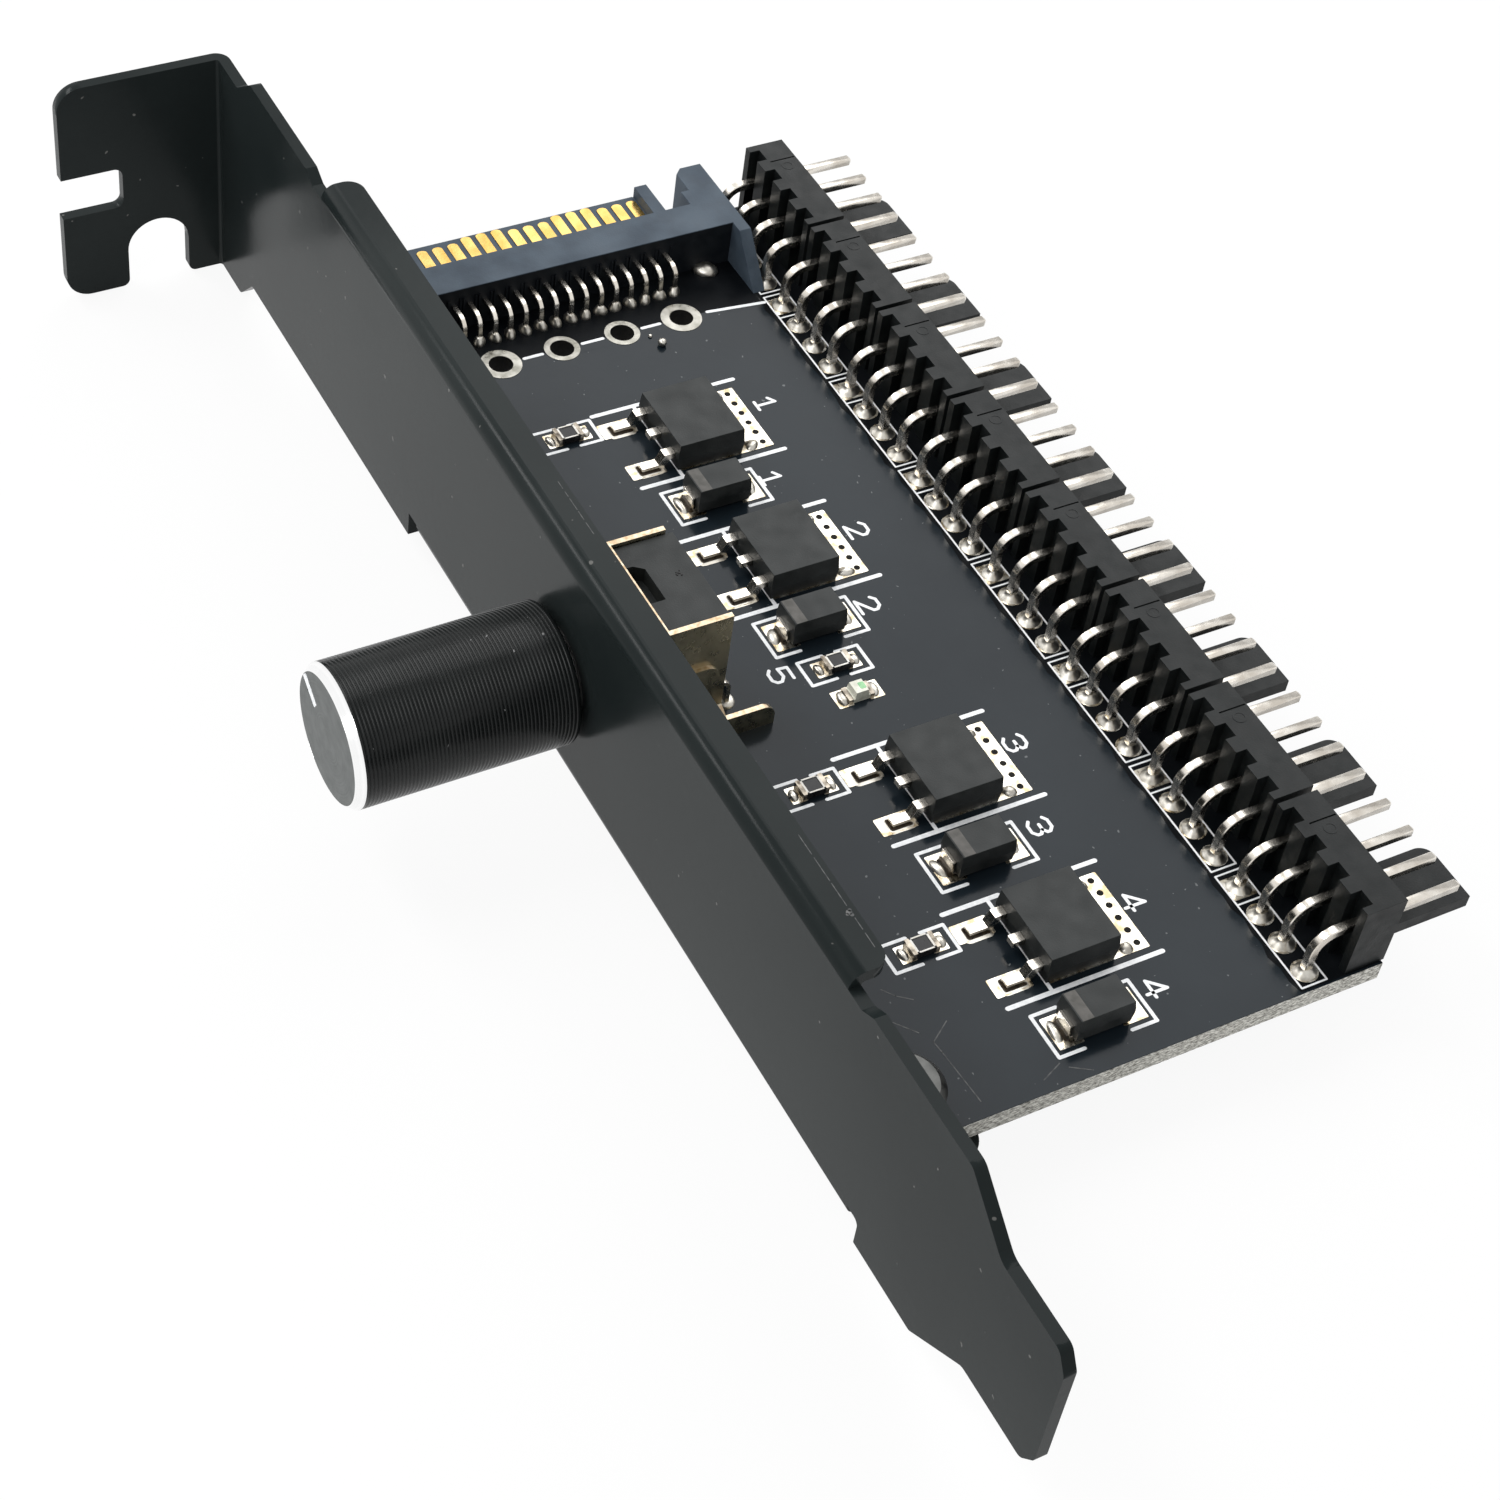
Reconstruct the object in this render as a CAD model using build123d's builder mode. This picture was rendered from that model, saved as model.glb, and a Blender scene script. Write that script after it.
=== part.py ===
from build123d import *
from math import cos, pi, sin
import os

os.makedirs("parts", exist_ok=True)

# Datums
# The origin lies on the seat face of the bracket's tab, on the centre line of its screw slot.
# X runs along the bracket to its tongue, Y from the bracket to the headers, Z up from the board.
# Sizes are counted from pin 1 of header 1 on the component side of the board: "along" is +X
# from that pin, "depth" is +Y from the row of header pins, "height" is +Z from the board's top.
seat_along = -15.91        # seat face of the tab
origin_depth = -39.6       # middle of the whole metal beside the screw slot
slot_height = 3.6          # centre line of the screw slot

# Board
board_length = 84.6
board_width = 39.7
board_thickness = 1.6
board_start = -1.6         # short edge beside header 1
board_front = 5.3          # long edge under the headers
plated_hole_radius = 0.95
plated_hole_along = 9.05
plated_hole_depth = -23.37
plated_hole_pitch = 5.08
plated_hole_count = 4

# Bracket
sheet = 0.86
bend_inside = 0.25
plate_gap = 0.42           # between the board's long edge and the plate's inner face
plate_low = -3.4
plate_top = 15.4
flange_top = 15.85
flange_start = 3.65
flange_short = 2.9         # from the flange's end to the board's end
flange_reach = 2.8         # from the plate's outer face to the flange's free edge
flange_corner = 1.2
relief_outer = 2.8         # reach of the notches at the ends of the flange
relief_middle = 1.6
lip_start = 21.3
lip_past = 1.4             # from the board's end to the lip's end
lip_reach = 2.8
lip_relief = 1.3           # length of the notches at the ends of the lip
relief_depth = 1.15
ear_width = 9.5
ear_reach = 10.28          # from the plate's outer face to the ear's free edge
ear_corner = 2.0
tab_reach = 12.62          # from the plate's outer face to the tab's free edge
tab_low = -5.9
tab_high = 13.4
tab_corner = 2.0
slot_width = 3.6
slot_length = 4.8
slot_corner = 0.7
notch_width = 4.9
notch_depth = 5.8
notch_offset = 5.17        # from the plate's outer face to the middle of the notch
notch_mouth = 0.6
head_low_end = -12.0       # the wide head of the plate ends here on its low side
head_low_slope = 2.4
head_high_end = -12.2      # and here on its high side
head_high_slope = 2.6
head_round = 0.8
slope_round = 0.5
foot_past = 9.4            # from the board's end to the end of the plate's low edge
tongue_past = 14.4         # to the start of the tongue
tongue_round = 1.0
tip_past = 21.9            # to the tongue's tip
tongue_low = 0.2
tongue_high = 11.9
tip_low_cut = (1.1, 1.4)   # corners cut from the tongue's end
tip_high_cut = (0.9, 1.4)
tip_round = 0.7
neck_past = 10.8           # to where the high side starts to narrow
neck_end_past = 15.0       # to where it reaches the tongue's width
neck_round = 1.5

# Bracket screws
screw_radius = 1.45
screw_hole_gap = 0.05
screw_head_radius = 2.72
screw_head_height = 1.8
screw_head_chamfer = 0.5
screw_tail = 0.7           # length below the ear
screw_board_gap = 0.15
screw_inset = 5.0          # from the board's long edge to the screws
cross_length = 3.0
cross_width = 0.8
cross_depth = 1.1

# Headers
header_count = 8
header_margin = 0.2        # length of the board that the row of headers leaves over
header_gap = 0.39          # between two housings
pins_per_header = 4
pin_pitch = 2.54
pin_size = 0.64
pin_height = 3.45
pin_tip = 11.4             # depth of the pin's free tip
pin_bend = 1.5             # radius of the bend on the pin's centre line
pin_steps = 4              # straight steps in the bend
pin_tail = 1.2             # length below the board
pin_chamfer = 0.15
pin_hole_gap = 0.15        # between a pin's side and its hole
housing_rear = 2.3         # depth of the tips of the teeth
housing_root = 3.15        # depth of the bottoms of the notches
housing_face = 5.5         # depth of the front face
housing_height = 6.05
housing_notch = 1.25
lock_width = 4.9           # friction lock below the pins
lock_front = 13.3
lock_low = 0.2
lock_thickness = 1.0
lock_corner = 1.1
seam_offset = 1.0
seam_width = 0.12
seam_recess = 0.1

# Power plug
contact_count = 15
contact_pitch = 1.27
contact_first = -7.33      # depth of the contact next to the key
contact_group = 3          # short and long contacts take turns in groups
contact_width = 0.84
contact_thickness = 0.25
contact_proud = 0.05       # above the blade
contact_short = -2.0       # free end of a short contact
contact_long = -2.4        # free end of a long contact
contact_corner = 0.2
tail_along = 6.22          # solder row of the plug
tail_width = 0.4
tail_bend = 0.85
tail_steps = 3
tail_length = 1.0          # below the board
tail_hole_gap = 0.12
plug_start = -30.1         # depth of the hidden end of the housing
plug_end = -0.5
plug_height = 3.8
block_front = 1.0
block_rear = 4.2
blade_tip = -2.5
blade_top = 2.8
blade_thickness = 1.15
blade_start = -26.1
key_tip = -2.4
key_start = -6.8
key_end = -5.75
key_low = 0.7
arm_tip = -3.3
arm_width = 2.4
arm_chamfer = 0.6
arm_root = 0.7             # extra width of the arm near its root
arm_root_along = -0.6
cheek_thickness = 1.0
cheek_top = 5.3
cheek_foot = 8.5

# Transistors
transistor_shares = (0.2683, 0.4368, 0.7027, 0.8747)  # places as shares of the board's length
transistor_depth = -13.6   # middle of the moulded body
transistor_width = 6.5
transistor_length = 5.5
transistor_height = 2.3
mould_draft = 5
lead_frame_thickness = 0.5
drain_width = 5.3
drain_reach = 0.9          # beyond the body, towards the headers
drain_inside = 3.6         # under the body
lead_width = 0.76
lead_spread = 2.29         # from the middle to each outer lead
lead_height = 1.05
lead_reach = 2.6           # from the body to the lead's toe
lead_shoulder = 0.85       # from the body to the lead's first bend
lead_heel = 1.3            # and to its second bend
lead_inside = 0.8
stub_reach = 0.9

# Diodes
diode_shares = (0.3475, 0.5154, 0.7843, 0.9551)
diode_depth = -15.0
diode_width = 2.6
diode_length = 4.3
diode_height = 2.2
diode_stand = 0.2
diode_lead_width = 1.45
diode_lead_thickness = 0.2
diode_lead_height = 1.15
diode_lead_gap = 0.25      # from the body's end to the lead's outer face
diode_foot = 1.2
diode_inside = 0.5

# Chip parts
resistor_shares = (0.2335, 0.406, 0.6732, 0.8457)
resistor_depth = -22.25
last_resistor_share = 0.5615
last_resistor_depth = -15.05
chip_length = 2.0
chip_width = 1.25
chip_height = 0.55
cap_length = 0.4
cap_proud = 0.04
led_share = 0.5969
led_depth = -15.05
led_lens_length = 1.1
led_lens_height = 0.5
led_base_height = 0.35
led_draft = 8

# Potentiometer
shaft_along = 43.4
shaft_height = 5.36
frame_sheet = 0.4
frame_setback = 5.18       # from the plate's outer face to the frame's front face
frame_width = 9.25
frame_top = 10.83
near_arm_reach = 5.0       # from the front face, on the side of the tongue
far_arm_reach = 4.5
arm_low = 2.4              # the arms stand out to their feet below this height
foot_out = 0.95
foot_height = 1.8
foot_first = 2.4           # from the front face to the foot's start
foot_last = 8.8            # from the front face to the foot's end
joggle_bend = 0.3
foot_corner = 1.0
leg_width = 1.6
leg_length = 1.1           # below the board
leg_hole_gap = 0.15
lug_width = 2.0
lug_height = 1.7
lug_low = 5.1
lug_first = 2.3
lug_round = 1.0
lug_proud = 0.35
body_gap = 0.05            # between the moulded body and the frame
body_top = 10.5
body_low = 0.4
body_reach = 5.0           # from the frame's front face to the body's rear
body_notch_width = 3.5
body_notch_offset = -0.45
body_notch_reach = 1.3
body_notch_depth = 1.2
body_notch_corner = 0.5
cavity_radius = 3.5
cavity_depth = 3.2
bushing_radius = 3.5
bushing_length = 5.0
bushing_clearance = 0.3    # between the bushing and the bracket's hole
shaft_radius = 3.0
shaft_running_gap = 0.05
shaft_reach = 9.42         # from the plate's outer face to the shaft's end
shaft_slit_width = 0.9
shaft_slit_length = 6.0
rotor_radius = 3.2
rotor_thickness = 1.5
moving_gap = 0.3
spindle_radius = 2.0
wiper_thickness = 0.2
wiper_width = 1.2
wiper_start = -1.5         # from the shaft's axis to the ends and bends of the wiper
wiper_rise = 1.2
wiper_land = 2.4
wiper_end = 2.9
track_radius = 3.3
track_inner_radius = 1.6
track_thickness = 0.3
terminal_count = 3
terminal_pitch = 2.5
terminal_width = 0.8
terminal_thickness = 0.3
terminal_height = 2.2
terminal_along_reach = 1.6
terminal_bend = 0.6
terminal_inside = 0.8
terminal_tail = 1.0        # length below the board
terminal_hole_gap = 0.15

# Knob
knob_radius = 4.963
knob_face_radius = 4.5
knob_standoff = 0.52       # from the plate's outer face to the knob
knob_length = 15.74
knob_chamfer_length = 0.62
knob_wall = 1.0
knob_face_thickness = 1.6
knob_rear_chamfer = 0.3
insert_recess = 0.6        # from the knob's rear edge to the insert
insert_gap = 0.02
pointer_outer = (-3.77, 2.35)
pointer_inner = (-1.96, 1.06)
pointer_width = 0.35
pointer_recess = 0.15

# Places worked out from the sizes above
datum = Vector(-seat_along, -origin_depth, -slot_height)
board_end = board_start + board_length
board_rear = board_front - board_width
board_middle = ((board_start + board_end) / 2, (board_rear + board_front) / 2)
plate_outer = board_rear - plate_gap - sheet
plate_middle = plate_outer + sheet / 2
bend_outside = bend_inside + sheet
bend_middle = bend_inside + sheet / 2
flange_root = flange_top - bend_outside
flange_end = board_end - flange_short
lip_low = -board_thickness - sheet
lip_end = board_end + lip_past
foot_end = board_end + foot_past
tongue_start = board_end + tongue_past
tongue_end = board_end + tip_past
neck_start = board_end + neck_past
neck_end = board_end + neck_end_past
screw_places = [
    (lip_start + ear_width / 2, board_rear + screw_inset),
    (lip_end - ear_width / 2, board_rear + screw_inset),
]
header_pitch = (board_length - header_margin) / header_count
housing_length = header_pitch - header_gap
header_starts = [index * header_pitch for index in range(header_count)]
pin_places = [start + pin * pin_pitch for start in header_starts for pin in range(pins_per_header)]
contact_places = [contact_first - index * contact_pitch for index in range(contact_count)]
contact_height = blade_top + contact_proud - contact_thickness / 2
transistor_along = [board_start + share * board_length for share in transistor_shares]
diode_along = [board_start + share * board_length for share in diode_shares]
resistor_places = [(board_start + share * board_length, resistor_depth) for share in resistor_shares]
resistor_places.append((board_start + last_resistor_share * board_length, last_resistor_depth))
led_along = board_start + led_share * board_length
frame_front = plate_outer + frame_setback
body_rear = frame_front + body_reach
shaft_end = plate_outer - shaft_reach
frame_start = shaft_along - frame_width / 2
frame_end = shaft_along + frame_width / 2
frame_inner_face = frame_front + frame_sheet
rotor_front = frame_inner_face + moving_gap
rotor_rear = rotor_front + rotor_thickness
cavity_rear = frame_inner_face + cavity_depth
terminal_depth = body_rear + terminal_along_reach
terminal_places = [
    shaft_along + (index - (terminal_count - 1) / 2) * terminal_pitch
    for index in range(terminal_count)
]
leg_depth = frame_front + foot_first + leg_width
track_front = cavity_rear - track_thickness
knob_rear = plate_outer - knob_standoff
knob_front = knob_rear - knob_length
knob_inner_face = knob_front + knob_face_thickness
fold_tolerance = 0.01


def level(height):
    """Horizontal plane at a height over the board, counted along and in depth."""
    return Plane((datum.X, datum.Y, datum.Z + height))


def section(along):
    """Upright plane across the board, counted in depth and height."""
    return Plane((datum.X + along, datum.Y, datum.Z), x_dir=(0, 1, 0), z_dir=(1, 0, 0))


def front(depth):
    """Upright plane facing out through the bracket, counted along and in height."""
    return Plane((datum.X, datum.Y + depth, datum.Z), x_dir=(1, 0, 0), z_dir=(0, -1, 0))


def points(corners):
    return [(x, y) for x, y, radius in corners]


def radii(corners):
    return [radius for x, y, radius in corners]


def edges_at(builder, direction, along=None, depth=None, height=None):
    """Edges in one direction whose middle lies at the given place."""
    found = builder.edges().filter_by(direction)
    wanted = ((Axis.X, along, datum.X), (Axis.Y, depth, datum.Y), (Axis.Z, height, datum.Z))
    for axis, value, zero in wanted:
        if value is not None:
            low = zero + value - fold_tolerance
            high = zero + value + fold_tolerance
            found = found.filter_by_position(axis, low, high)
    return found


def stepped_bend(start, corner, end, radius, steps):
    """Points of a line whose square corner is rounded in a few straight steps."""
    inward = (Vector(*corner) - Vector(*start)).normalized() * radius
    outward = (Vector(*end) - Vector(*corner)).normalized() * radius
    centre = Vector(*corner) - inward + outward
    turns = [step * pi / 2 / steps for step in range(steps + 1)]
    bend = [centre - outward * cos(turn) + inward * sin(turn) for turn in turns]
    return [start, *[(point.X, point.Y) for point in bend], end]


def save(part, label):
    part.label = label
    export_step(part, f"parts/{label}.step")


# Bracket: plate, side flange, lip with two ears under the board, and tab, folded from one sheet
plate_corners = [
    (seat_along + bend_inside, tab_low, 0),
    (head_low_end, tab_low, head_round),
    (head_low_end + head_low_slope, plate_low, slope_round),
    (lip_start - lip_relief, plate_low, 0),
    (lip_start - lip_relief, lip_low + relief_depth, 0),
    (lip_start, lip_low + relief_depth, 0),
    (lip_end, lip_low + relief_depth, 0),
    (lip_end + lip_relief, lip_low + relief_depth, slope_round),
    (lip_end + lip_relief, plate_low, 0),
    (foot_end, plate_low, slope_round),
    (tongue_start, tongue_low, tongue_round),
    (tongue_end - tip_low_cut[0], tongue_low, tip_round),
    (tongue_end, tongue_low + tip_low_cut[1], tip_round),
    (tongue_end, tongue_high - tip_high_cut[1], tip_round),
    (tongue_end - tip_high_cut[0], tongue_high, tip_round),
    (neck_end, tongue_high, neck_round),
    (neck_start, plate_top, tongue_round),
    (flange_end + relief_outer, plate_top, 0),
    (flange_end + relief_middle, flange_root, 0),
    (flange_end, flange_root, 0),
    (flange_start, flange_root, 0),
    (flange_start - relief_middle, flange_root, 0),
    (flange_start - relief_outer, plate_top, 0),
    (head_high_end + head_high_slope, plate_top, slope_round),
    (head_high_end, tab_high, slope_round),
    (seat_along + bend_inside, tab_high, 0),
]
lip_edge = plate_outer + lip_reach
ear_edge = plate_outer + ear_reach
ear_corners = [
    (lip_start, plate_outer + bend_outside, 0),
    (lip_end, plate_outer + bend_outside, 0),
    (lip_end, ear_edge, ear_corner),
    (lip_end - ear_width, ear_edge, ear_corner),
    (lip_end - ear_width, lip_edge, ear_corner),
    (lip_start + ear_width, lip_edge, ear_corner),
    (lip_start + ear_width, ear_edge, ear_corner),
    (lip_start, ear_edge, ear_corner),
]
tab_edge = plate_outer - tab_reach
slot_end = tab_edge + slot_length
notch_middle = plate_outer - notch_offset
notch_round = notch_width / 2 - fold_tolerance
tab_corners = [
    (plate_outer - bend_inside, tab_low, 0),
    (notch_middle + notch_width / 2, tab_low, notch_mouth),
    (notch_middle + notch_width / 2, tab_low + notch_depth, notch_round),
    (notch_middle - notch_width / 2, tab_low + notch_depth, notch_round),
    (notch_middle - notch_width / 2, tab_low, notch_mouth),
    (tab_edge, tab_low, tab_corner),
    (tab_edge, slot_height - slot_width / 2, 0),
    (slot_end, slot_height - slot_width / 2, slot_corner),
    (slot_end, slot_height + slot_width / 2, slot_corner),
    (tab_edge, slot_height + slot_width / 2, 0),
    (tab_edge, tab_high, tab_corner),
    (plate_outer - bend_inside, tab_high, 0),
]
with BuildPart() as bracket:
    with BuildSketch(front(plate_outer)):
        with BuildLine():
            FilletPolyline(*points(plate_corners), radius=radii(plate_corners), close=True)
        make_face()
        with Locations((shaft_along, shaft_height)):
            Circle(bushing_radius + bushing_clearance, mode=Mode.SUBTRACT)
    extrude(amount=-sheet)
    with BuildSketch(section(flange_start)):
        with BuildLine():
            FilletPolyline(
                (plate_middle, flange_root - sheet),
                (plate_middle, flange_top - sheet / 2),
                (plate_outer + flange_reach, flange_top - sheet / 2),
                radius=bend_middle,
            )
        trace(line_width=sheet)
    extrude(amount=flange_end - flange_start)
    fillet(edges_at(bracket, Axis.Z, depth=plate_outer + flange_reach), flange_corner)
    with BuildSketch(section(lip_start)):
        with BuildLine():
            FilletPolyline(
                (plate_middle, lip_low + relief_depth + sheet),
                (plate_middle, lip_low + sheet / 2),
                (lip_edge, lip_low + sheet / 2),
                radius=bend_middle,
            )
        trace(line_width=sheet)
    extrude(amount=lip_end - lip_start)
    with BuildSketch(level(-board_thickness)):
        with BuildLine():
            FilletPolyline(*points(ear_corners), radius=radii(ear_corners), close=True)
        make_face()
        with Locations(*screw_places):
            Circle(screw_radius + screw_hole_gap, mode=Mode.SUBTRACT)
    extrude(amount=-sheet)
    with BuildSketch(level(tab_low)):
        with BuildLine():
            FilletPolyline(
                (seat_along - sheet / 2, plate_outer - bend_outside),
                (seat_along - sheet / 2, plate_middle),
                (seat_along + bend_outside, plate_middle),
                radius=bend_middle,
            )
        trace(line_width=sheet)
    extrude(amount=tab_high - tab_low)
    with BuildSketch(section(seat_along)):
        with BuildLine():
            FilletPolyline(*points(tab_corners), radius=radii(tab_corners), close=True)
        make_face()
    extrude(amount=-sheet)
save(bracket.part, "bracket")

# Bracket screws: pan heads with a cross recess, through the board into the bracket's ears
with BuildPart() as bracket_screws:
    with BuildSketch(level(0)):
        with Locations(*screw_places):
            Circle(screw_head_radius)
    extrude(amount=screw_head_height)
    chamfer(bracket_screws.faces().group_by(Axis.Z)[-1].edges(), screw_head_chamfer)
    with BuildSketch(level(screw_head_height)):
        with Locations(*screw_places):
            Rectangle(cross_length, cross_width)
            Rectangle(cross_width, cross_length)
    extrude(amount=-cross_depth, mode=Mode.SUBTRACT)
    with BuildSketch(level(0)):
        with Locations(*screw_places):
            Circle(screw_radius)
    extrude(amount=-(board_thickness + sheet + screw_tail))
save(bracket_screws.part, "bracket_screws")

# Circuit board with the holes for everything that is soldered or screwed through it
pin_hole = pin_size + 2 * pin_hole_gap
leg_alongs = (frame_start - foot_out + frame_sheet / 2, frame_end + foot_out - frame_sheet / 2)
with BuildPart() as circuit_board:
    with BuildSketch(level(0)):
        with Locations(board_middle):
            Rectangle(board_length, board_width)
        with Locations(*[(along, 0) for along in pin_places]):
            Rectangle(pin_hole, pin_hole, mode=Mode.SUBTRACT)
        with Locations(*[(tail_along, depth) for depth in contact_places]):
            Rectangle(
                contact_thickness + 2 * tail_hole_gap, tail_width + 2 * tail_hole_gap, mode=Mode.SUBTRACT
            )
        with Locations(*[(along, terminal_depth) for along in terminal_places]):
            Rectangle(
                terminal_width + 2 * terminal_hole_gap,
                terminal_thickness + 2 * terminal_hole_gap,
                mode=Mode.SUBTRACT,
            )
        with Locations(*[(along, leg_depth) for along in leg_alongs]):
            Rectangle(frame_sheet + 2 * leg_hole_gap, leg_width + 2 * leg_hole_gap, mode=Mode.SUBTRACT)
        with Locations(*screw_places):
            Circle(screw_radius + screw_board_gap, mode=Mode.SUBTRACT)
        with Locations(*[
            (plated_hole_along, plated_hole_depth + index * plated_hole_pitch)
            for index in range(plated_hole_count)
        ]):
            Circle(plated_hole_radius, mode=Mode.SUBTRACT)
    extrude(amount=-board_thickness)
save(circuit_board.part, "circuit_board")

# Header pin: square wire through the housing, bent down into the board
pin_line = stepped_bend(
    (pin_tip, pin_height),
    (0, pin_height),
    (0, -board_thickness - pin_tail),
    pin_bend,
    pin_steps,
)
with BuildPart() as pin:
    with BuildLine(section(0)):
        Polyline(*pin_line)
    with BuildSketch(front(pin_tip)):
        with Locations((0, pin_height)):
            Rectangle(pin_size, pin_size)
    sweep(transition=Transition.RIGHT)
    chamfer(pin.faces().sort_by(Axis.Y)[-1].edges(), pin_chamfer)

# Headers: toothed housing with a friction lock below its four pins
for number, start in enumerate(header_starts, 1):
    header_pin_places = [start + index * pin_pitch for index in range(pins_per_header)]
    header_middle = start + (pins_per_header - 1) * pin_pitch / 2
    lock_middle = start + 2 * pin_pitch
    with BuildPart() as header:
        with BuildSketch(level(0)):
            with Locations((header_middle, (housing_rear + housing_face) / 2)):
                Rectangle(housing_length, housing_face - housing_rear)
            with Locations(*[(along, (housing_rear + housing_root) / 2) for along in header_pin_places]):
                Rectangle(housing_notch, housing_root - housing_rear, mode=Mode.SUBTRACT)
        extrude(amount=housing_height)
        with BuildSketch(level(lock_low)):
            with Locations((lock_middle, (housing_face + lock_front) / 2)):
                Rectangle(lock_width, lock_front - housing_face)
        extrude(amount=lock_thickness)
        far_corner = edges_at(header, Axis.Z, lock_middle - lock_width / 2, lock_front)
        fillet(far_corner, lock_corner)
        with BuildSketch(front(housing_face)):
            with Locations(*[(along, pin_height) for along in header_pin_places]):
                Rectangle(pin_size, pin_size)
        extrude(amount=housing_face - housing_rear, mode=Mode.SUBTRACT)
        with BuildSketch(level(housing_height)):
            with Locations((start + seam_offset, (housing_root + housing_face) / 2)):
                Rectangle(seam_width, housing_face - housing_root - 2 * seam_width)
        extrude(amount=-seam_recess, mode=Mode.SUBTRACT)
    save(header.part, f"header_{number}")
    with BuildPart() as header_pins:
        with Locations(*[(along, 0, 0) for along in header_pin_places]):
            add(pin.part)
    save(header_pins.part, f"header_pins_{number}")


tail_line = stepped_bend(
    (block_front, contact_height),
    (tail_along, contact_height),
    (tail_along, -board_thickness - tail_length),
    tail_bend,
    tail_steps,
)


def power_contact(free_end):
    """Strip along the blade's top that narrows behind the block and bends into the board."""
    with BuildPart() as contact:
        with BuildSketch(level(contact_height - contact_thickness / 2)):
            with Locations(((free_end + block_front) / 2, 0)):
                Rectangle(block_front - free_end, contact_width)
        extrude(amount=contact_thickness)
        chamfer(edges_at(contact, Axis.Z, along=free_end), contact_corner)
        with BuildLine(front(0)):
            Polyline(*tail_line)
        with BuildSketch(section(block_front)):
            with Locations((0, contact_height)):
                Rectangle(tail_width, contact_thickness)
        sweep(transition=Transition.RIGHT)
    return contact.part


# Power plug contacts: groups of three short and three long strips
short_contact = power_contact(contact_short)
long_contact = power_contact(contact_long)
with BuildPart() as plug_contacts:
    for index, depth in enumerate(contact_places):
        with Locations((0, depth, 0)):
            add(long_contact if index // contact_group % 2 else short_contact)
save(plug_contacts.part, "plug_contacts")

# Power plug housing: block with blade, key, guide arms and end cheeks
cheek_corners = [
    (block_rear, 0),
    (cheek_foot, 0),
    (cheek_top, plug_height),
    (block_rear, plug_height),
]
with BuildPart() as plug_housing:
    with BuildSketch(level(0)):
        with Locations(((block_front + block_rear) / 2, (plug_start + plug_end) / 2)):
            Rectangle(block_rear - block_front, plug_end - plug_start)
        for arm_middle in (plug_start + arm_width / 2, plug_end - arm_width / 2):
            with Locations(((arm_tip + block_front) / 2, arm_middle)):
                Rectangle(block_front - arm_tip, arm_width)
        with Locations(((arm_root_along + block_front) / 2, plug_end - arm_width - arm_root / 2)):
            Rectangle(block_front - arm_root_along, arm_root)
    extrude(amount=plug_height)
    for tip_depth in (plug_start + arm_width, plug_end - arm_width):
        chamfer(edges_at(plug_housing, Axis.Z, arm_tip, tip_depth), arm_chamfer)
    with BuildSketch(level(blade_top)):
        with Locations(((blade_tip + block_front) / 2, (blade_start + key_start) / 2)):
            Rectangle(block_front - blade_tip, key_start - blade_start)
    extrude(amount=-blade_thickness)
    with BuildSketch(level(plug_height)):
        with Locations(((key_tip + block_front) / 2, (key_start + key_end) / 2)):
            Rectangle(block_front - key_tip, key_end - key_start)
    extrude(amount=key_low - plug_height)
    for cheek_depth in (plug_start + cheek_thickness, plug_end):
        with BuildSketch(front(cheek_depth)):
            with BuildLine():
                Polyline(*cheek_corners, close=True)
            make_face()
        extrude(amount=cheek_thickness)
    add(plug_contacts.part, mode=Mode.SUBTRACT)
save(plug_housing.part, "plug_housing")

# Transistors: moulded body on a lead frame with a wide drain tab, two leads and a cut stub
body_rear_edge = transistor_depth - transistor_length / 2
body_front_edge = transistor_depth + transistor_length / 2
lead_top = lead_height + lead_frame_thickness / 2
lead_corners = [
    (body_rear_edge + lead_inside, lead_top),
    (body_rear_edge - lead_shoulder, lead_top),
    (body_rear_edge - lead_heel, lead_frame_thickness),
    (body_rear_edge - lead_reach, lead_frame_thickness),
    (body_rear_edge - lead_reach, 0),
    (body_rear_edge - lead_shoulder, 0),
    (body_rear_edge - lead_shoulder + lead_frame_thickness, lead_top - lead_frame_thickness),
    (body_rear_edge + lead_inside, lead_top - lead_frame_thickness),
]
for number, along in enumerate(transistor_along, 1):
    with BuildPart() as transistor_leads:
        with BuildSketch(level(0)):
            with Locations((along, body_front_edge + (drain_reach - drain_inside) / 2)):
                Rectangle(drain_width, drain_reach + drain_inside)
        extrude(amount=lead_frame_thickness)
        for side in (-1, 1):
            with BuildSketch(section(along + side * lead_spread - lead_width / 2)):
                with BuildLine():
                    Polyline(*lead_corners, close=True)
                make_face()
            extrude(amount=lead_width)
        with BuildSketch(level(lead_height - lead_frame_thickness / 2)):
            with Locations((along, body_rear_edge + (lead_inside - stub_reach) / 2)):
                Rectangle(lead_width, lead_inside + stub_reach)
        extrude(amount=lead_frame_thickness)
    save(transistor_leads.part, f"transistor_leads_{number}")
    with BuildPart() as transistor:
        with BuildSketch(level(lead_height)):
            with Locations((along, transistor_depth)):
                Rectangle(transistor_width, transistor_length)
        extrude(amount=transistor_height - lead_height, taper=mould_draft)
        extrude(to_extrude=transistor.faces().sort_by(Axis.Z)[0], amount=lead_height, taper=mould_draft)
        add(transistor_leads.part, mode=Mode.SUBTRACT)
    save(transistor.part, f"transistor_{number}")

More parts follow.
